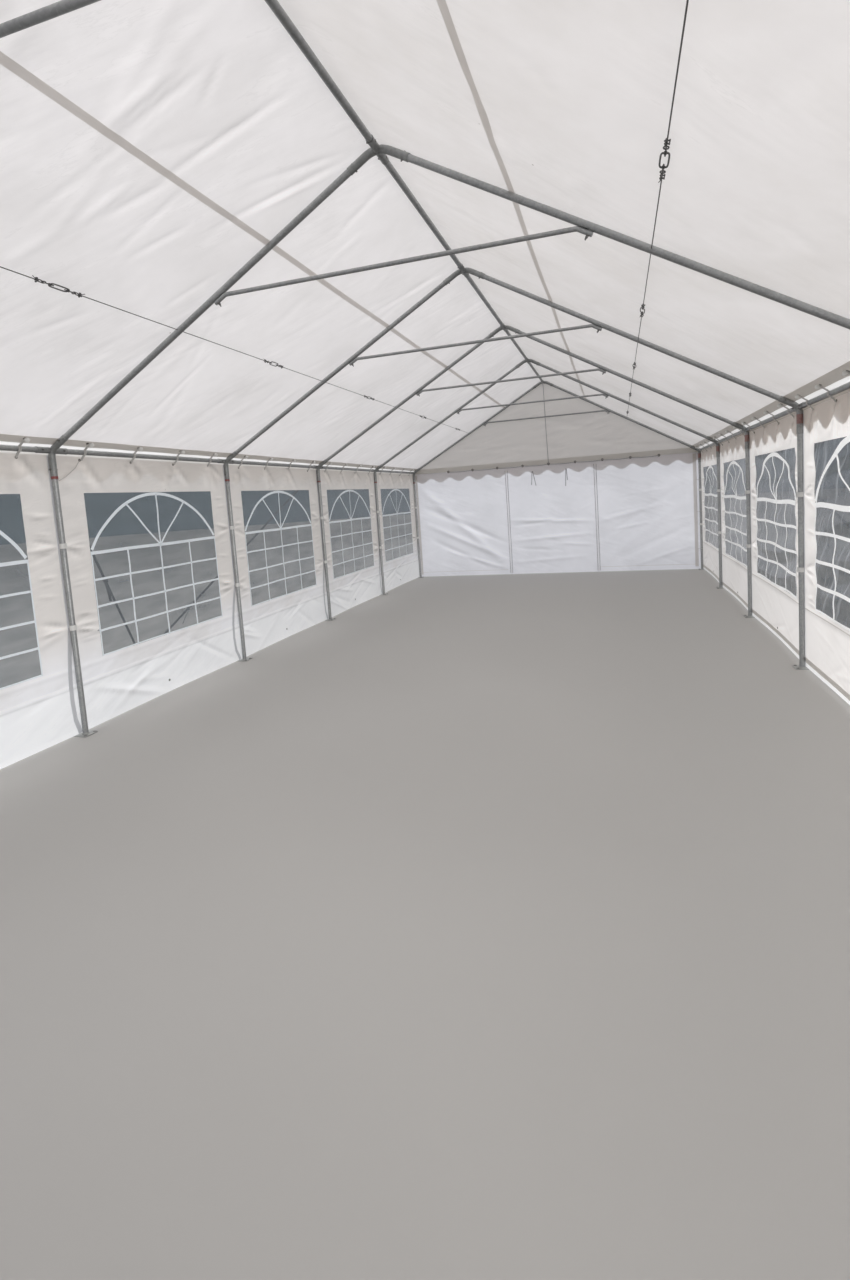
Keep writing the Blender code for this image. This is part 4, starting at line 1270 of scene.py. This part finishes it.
def roll_place(xs, lengths):
    """The front door wound up: its length lies along a spiral of even spacing."""
    share = lengths / DOOR_LENGTH
    wound = share * (ROLL_CORE + ROLL_GROWTH / 2 * share) / (ROLL_CORE + ROLL_GROWTH / 2)
    angle = 2 * math.pi * ROLL_TURNS * wound
    radius = ROLL_CORE + ROLL_GROWTH * share + 0.0008 * np.sin(14 * xs) * share
    sag = 0.004 * np.cos(xs / 0.62 * math.pi)
    return xs, ROLL_Y - radius * np.sin(angle), ROLL_Z + 0.8 * radius * np.cos(angle) + sag - 0.004


def tie_place(x, angles, aside):
    """A tie's turn round the rolled door."""
    return x + aside, ROLL_Y - 0.0545 * np.sin(angles), ROLL_Z - 0.001 + 0.0445 * np.cos(angles)


def tail_place(x, way, lengths, aside):
    """One of the two ends that hang from a tie."""
    drop = np.clip(lengths - 0.02, 0, 1)
    return x + aside + way * (0.012 + 0.10 * drop), ROLL_Y + 0.056 + 0.012 * np.sin(20 * drop), ROLL_Z - drop


roll_xs = steps(-0.774, 0.774, pitch=0.05)
roll = cloth("end_door_front", roll_xs, steps(0, DOOR_LENGTH, pitch=0.011), roll_place, [end_cloth])
bm = bmesh.new()
for x in (-0.345, 0.345):
    lay_grid(bm, list(np.linspace(0, 2 * math.pi, 25)), TIE_LINES, partial(tie_place, x))
    for way in (-1, 1):
        lay_grid(bm, steps(0.02, 0.16, pitch=0.01), TIE_LINES, partial(tail_place, x, way))
ties = piece("front_door_ties", bm, [end_cloth], sharp=0)

# Wall trims
# The panels of a side wall lap over each other behind the posts, with their edges
# hanging loose. White straps hold the laps to the posts, over a turned-up hem.
STRAP_RINGS = ((-0.018, 0.0004), (-0.016, 0.0030), (0.016, 0.0030), (0.018, 0.0004))
LAP_BOWS = (0.055, 0.058, 0.108, 0.080, 0.060)
LAP_CURVE = [(0.77, 0.1), (0.68, 0.35), (0.57, 0.62), (0.40, 0.93)]
LAP_CURVE += [(0.25, 1.0), (0.12, 0.85), (0.05, 0.5), (0.016, 0.38)]
lap_cloth = cloth_finish("lapped_cloth", (0.62, 0.64, 0.67), (0.56, 0.57, 0.59), (0.92, 0.94, 0.98))
strap_white = cloth_finish(
    "white_strap", (0.80, 0.80, 0.79), (0.66, 0.65, 0.62), (0.70, 0.70, 0.68), 0.15, 0.9
)
lap_edge_and_shadow = cloth_finish("lap_edge_and_painted_shadow", (0.64, 0.65, 0.67), (0.57, 0.58, 0.60), (0.56, 0.57, 0.60), 0.4)
eyelet_zinc = zinc_finish("eyelet_ring", (0.30, 0.29, 0.27), (0.14, 0.13, 0.12), 0.7, 300.0)
ring = bmesh.new()
sweep(ring, hoop(0.0085, 13), 0.0022, 6, caps=False)
bmesh.ops.create_circle(ring, cap_ends=True, segments=12, radius=0.0066)
for side, word in SIDES:
    bm = bmesh.new()
    for y in PORTAL_YS:
        for z in STRAP_ZS:
            path = [(side * HALF_WIDTH, y, z + rise) for rise, out in STRAP_RINGS]
            sweep(bm, path, [TUBE_R + out for rise, out in STRAP_RINGS], 24)
            buckle = Matrix.Translation((side * (HALF_WIDTH - 0.016), y + 0.0155, z))
            block(bm, buckle @ Matrix.Rotation(-side * 0.75, 4, "Z"), (0.008, 0.020, 0.038), 0.0015)
    straps = piece(f"post_straps_{word}", bm, [strap_white])

    bm = bmesh.new()
    before = partial(side_point, side, out=-0.0035)
    for y, bow in zip(PORTAL_YS[1:-1], LAP_BOWS):
        lay_ribbon(bm, [(y - 0.004, WALL_TOP), (y - 0.004, 0.77)], 0.042, before)
        # On the left the loose edge of each lap is a dark strip: the doubled edge with a painted shadow under
        # it
        if side < 0:
            lay_ribbon(bm, [(y - bow * share, z) for z, share in LAP_CURVE], 0.034, before, slot=2)
        else:
            lay_ribbon(bm, [(y - 0.003, 0.77), (y - 0.003, 0.016)], 0.030, before)
    if side > 0:
        for z, width in ((0.068, 0.040), (SKIRT_TOP, 0.007)):
            path = [(way * (WALL_REACH - 0.01), z) for way in (-1, 1)]
            lay_ribbon(bm, path, width, before, slot=1, pitch=0.05)
    looks = [lap_cloth, hem_cloth, lap_edge_and_shadow]
    laps = piece(f"side_wall_trims_{word}", bm, looks, sharp=0)
    bm = bmesh.new()
    out = (side, 0, 0)
    places = [facing((side * (WALL_X - 0.0015), y, 1.946), out) for y in LOOP_YS]
    places += [facing(on_rafter(side, 2.790, y, COVER_LIFT - 0.006), off_slope(side)) for y in LOOP_YS]
    for y in PORTAL_YS[:-1]:
        spot = side_point(side, np.array([y + 0.94]), np.array([0.11]), -0.0015)
        places.append(facing([float(part[0]) for part in spot], out))
    stamp(bm, ring, places)
    piece(f"eyelets_{word}", bm, [eyelet_zinc])

# Elastic loops
# Loops of elastic cord with a white ball lace the hem of the cover and the top of
# each side wall together round the eave purlin, four to a bay.
CORD_ROUND = 0.0222
elastic, tree, shader = surface("grey_elastic_cord")
spot = node(tree, "TexCoord").outputs["Object"]
braid = node(tree, "TexVoronoi", {"Vector": spot, "Scale": 700.0}).outputs["Distance"]
braid = blend(tree, braid, (0.66, 0.65, 0.63, 1), (0.42, 0.41, 0.40, 1))
fill(tree, shader, {"Base Color": braid, "Roughness": 0.8})
ball_white = cloth_finish(
    "white_plastic_ball", (0.82, 0.82, 0.80), (0.74, 0.73, 0.70), (0.75, 0.75, 0.73), 0.1, 0.05
)
for side, word in SIDES:
    pattern = bmesh.new()
    hem = on_rafter(side, 2.787, 0, COVER_LIFT - 0.012)
    for y in (-0.0055, 0.0055):
        path = [(side * (WALL_X - 0.002), y * 0.4, 1.944), (side * (HALF_WIDTH + 0.008), y, 1.966)]
        for a in np.radians((-75, -45, -15, 15, 40)):
            inward, up = CORD_ROUND * math.cos(a), CORD_ROUND * math.sin(a)
            path.append((side * (HALF_WIDTH - inward), y, EAVE_Z + up))
        path.append((hem.x, y * 0.5, hem.z))
        sweep(pattern, path, 0.0042, 8)
    ball = Matrix.Translation(hem + Vector((-side * 0.004, 0.010, -0.006)))
    made = bmesh.ops.create_uvsphere(pattern, u_segments=14, v_segments=10, radius=0.017, matrix=ball)
    for face in {face for vert in made["verts"] for face in vert.link_faces}:
        face.material_index = 1
    bm = bmesh.new()
    lean = random.Random(5)
    stamp(bm, pattern, [Matrix.Translation((0, y + lean.uniform(-0.02, 0.02), 0)) for y in LOOP_YS])
    if side < 0:
        tail = [(-2.521, -1.752, 1.944), (-2.515, -1.80, 1.890)]
        tail += [(-2.505, -1.90, 1.825), (-2.492, -1.975, 1.795)]
        sweep(bm, tail, 0.0022, 8)
    piece(f"elastic_loops_{word}", bm, [elastic, ball_white])

# Laces and tapes at the ends
# A thin cord is laced through the eyelets of each gable band, and another hangs from
# the ridge. Elastic loops lace the end walls to the corner posts.
EYELET_XS = [-1.824 + 0.462 * i for i in range(9)]
EYELET_Z = 1.972
LACE_Z = 1.968
LOOP_ZS = (1.51, 0.98, 0.35)
LOOP_ROUND = 0.0225
for end, word in ENDS:
    wall_y = end * (END_Y - 0.0045)
    lace_y = wall_y - end * 0.002
    bm = bmesh.new()
    places = [facing((x, end * (GABLE_Y - 0.0055), EYELET_Z), (0, end, 0)) for x in EYELET_XS]
    stamp(bm, ring, [place @ Matrix.Scale(2.3, 4) for place in places])
    piece(f"band_eyelets_{word}", bm, [eyelet_zinc])
    bm = bmesh.new()
    lace = []
    for x, next_x in zip(EYELET_XS, EYELET_XS[1:]):
        for share in (0, 0.25, 0.5, 0.75):
            sag = 0.012 * math.sin(math.pi * share)
            lace.append((x + (next_x - x) * share, lace_y, LACE_Z - sag))
    lace.append((EYELET_XS[-1], lace_y, LACE_Z))
    sweep(bm, lace, 0.0042, 6, slot=1)
    hung = [(0.0, end * 5.94, 3.372), (0.004, end * 5.95, 3.30)]
    hung += [(0.012, end * 5.985, 2.60), (0.024, wall_y, 1.972)]
    sweep(bm, hung, 0.0050, 6, slot=1)
    for side in (-1, 1):
        x = side * HALF_WIDTH
        for z in LOOP_ZS:
            turns = []
            for step in range(15):
                a = math.pi * (0.30 + step / 8)
                spot = (x - side * LOOP_ROUND * math.sin(a), end * (HALF_LENGTH - LOOP_ROUND * math.cos(a)))
                turns.append((*spot, z + 0.010 * step / 14))
            turns.append((x - side * 0.060, wall_y + end * 0.001, z + 0.004))
            sweep(bm, turns, 0.0026, 6)
    piece(f"end_laces_{word}", bm, [elastic, zip_tape])

# The back door's tapes hang just inside it in a dark grey, which partly paints the shadow that tapes throw
# through the door cloth
TAPES = ((-0.272, 0.245, -0.018), (-0.262, 0.260, 0.050), (0.322, 0.305, -0.014), (0.330, 0.200, 0.014))
TAPE_TOP = 1.865


def tape_place(x, length, lean, drops, aside):
    """A tape that hangs from the head of the back door, and leans to one side."""
    sway = 0.006 * np.sin(5.0 * drops) * drops
    return x + aside + lean * drops, END_Y - 0.010 - 0.006 * drops + sway, TAPE_TOP - length * drops


bm = bmesh.new()
for tape in TAPES:
    lay_grid(bm, list(np.linspace(0, 1, 13)), [-0.006, 0.0, 0.006], partial(tape_place, *tape))
piece("back_door_tapes", bm, [zip_tape], sharp=0)

# Storm guys
# Two straps of grey webbing to a side run from rings on the cover's edge to steel
# pegs, and a buckle on each strap tightens it.
STRAP_HALF = 0.011
STRAP_FLAT = 0.10
BUCKLE_CORNERS = [(-0.018, -0.026, 0), (0.018, -0.026, 0), (0.018, 0.026, 0), (-0.018, 0.026, 0)]
webbing, tree, shader = surface("grey_webbing")
spot = node(tree, "TexCoord").outputs["Object"]
ribs = {"Vector": spot, "Scale": 160.0, "Distortion": 1.5}
ribs = node(tree, "TexWave", ribs, bands_direction="Z").outputs["Fac"]
web_tone = blend(tree, ribs, (0.11, 0.11, 0.115, 1), (0.20, 0.20, 0.205, 1))
web_bump = node(tree, "Bump", {"Height": ribs, "Strength": 0.5, "Distance": 0.0008}).outputs[0]
fill(tree, shader, {"Base Color": web_tone, "Normal": web_bump, "Roughness": 0.85})
guy_ring = bmesh.new()
sweep(guy_ring, hoop(0.012, 15), 0.0028, 8, caps=False)
buckle = bmesh.new()
for start, end in zip(BUCKLE_CORNERS, BUCKLE_CORNERS[1:] + BUCKLE_CORNERS[:1]):
    bar(buckle, start, end, 0.0030, 8, chamfer=0.0005)
bar(buckle, (-0.018, 0.0, 0.002), (0.018, 0.0, 0.002), 0.0038, 8, chamfer=0.0005)
block(buckle, Matrix.Translation((0, 0.012, 0.006)), (0.028, 0.030, 0.003), 0.001)
for side, word in SIDES:
    straps = ((1, 3, -1, 0.515, 0.0), (2, 5, 1, 0.77, side * 1.1))
    for index, portal, toward, buckle_at, roll in straps:
        top = Vector((side * 2.5365, PORTAL_YS[portal - 1], 1.955))
        foot = Vector((side * 3.740, toward * 0.060, 0.054))
        along = (foot - top).normalized()
        reach = (foot - top).length
        bm = bmesh.new()
        stamp(bm, guy_ring, [facing(top + along * 0.006, (0, 1, 0))], slot=1)
        strap = bmesh.new()
        for start, end in ((0.016, reach * (buckle_at - 0.01)), (reach * (buckle_at + 0.01), reach - 0.012)):
            sweep(strap, [(0, 0, start), (0, 0, end)], STRAP_HALF, 8, squash=STRAP_FLAT)
        stamp(bm, strap, [facing(top, along, roll)])
        hanging = [top + along * reach * buckle_at]
        for step in range(1, 9):
            fallen = Vector((side * 0.002, 0, -0.0075 * step - 0.0006 * step**2))
            hanging.append(hanging[0] + along * 0.02 * step + fallen)
        sweep(bm, hanging, STRAP_HALF, 8, squash=STRAP_FLAT)
        turned = along.to_track_quat("Y", "Z").to_matrix().to_4x4() @ Matrix.Rotation(roll, 4, "Y")
        stamp(bm, buckle, [Matrix.Translation(hanging[0]) @ turned], slot=1)
        peg = [(0, 0.001), (0, 0.070), (0.004, 0.082), (0.014, 0.086), (0.022, 0.078)]
        sweep(bm, [(foot.x + side * out, foot.y, z) for out, z in peg], 0.0062, 12, slot=1)
        sweep(bm, [(foot.x, foot.y, z) for z in (0.046, 0.062)], 0.0098, 16)
        piece(f"guy_rope_{word}_{index}", bm, [webbing, bolt_zinc], stands=True)
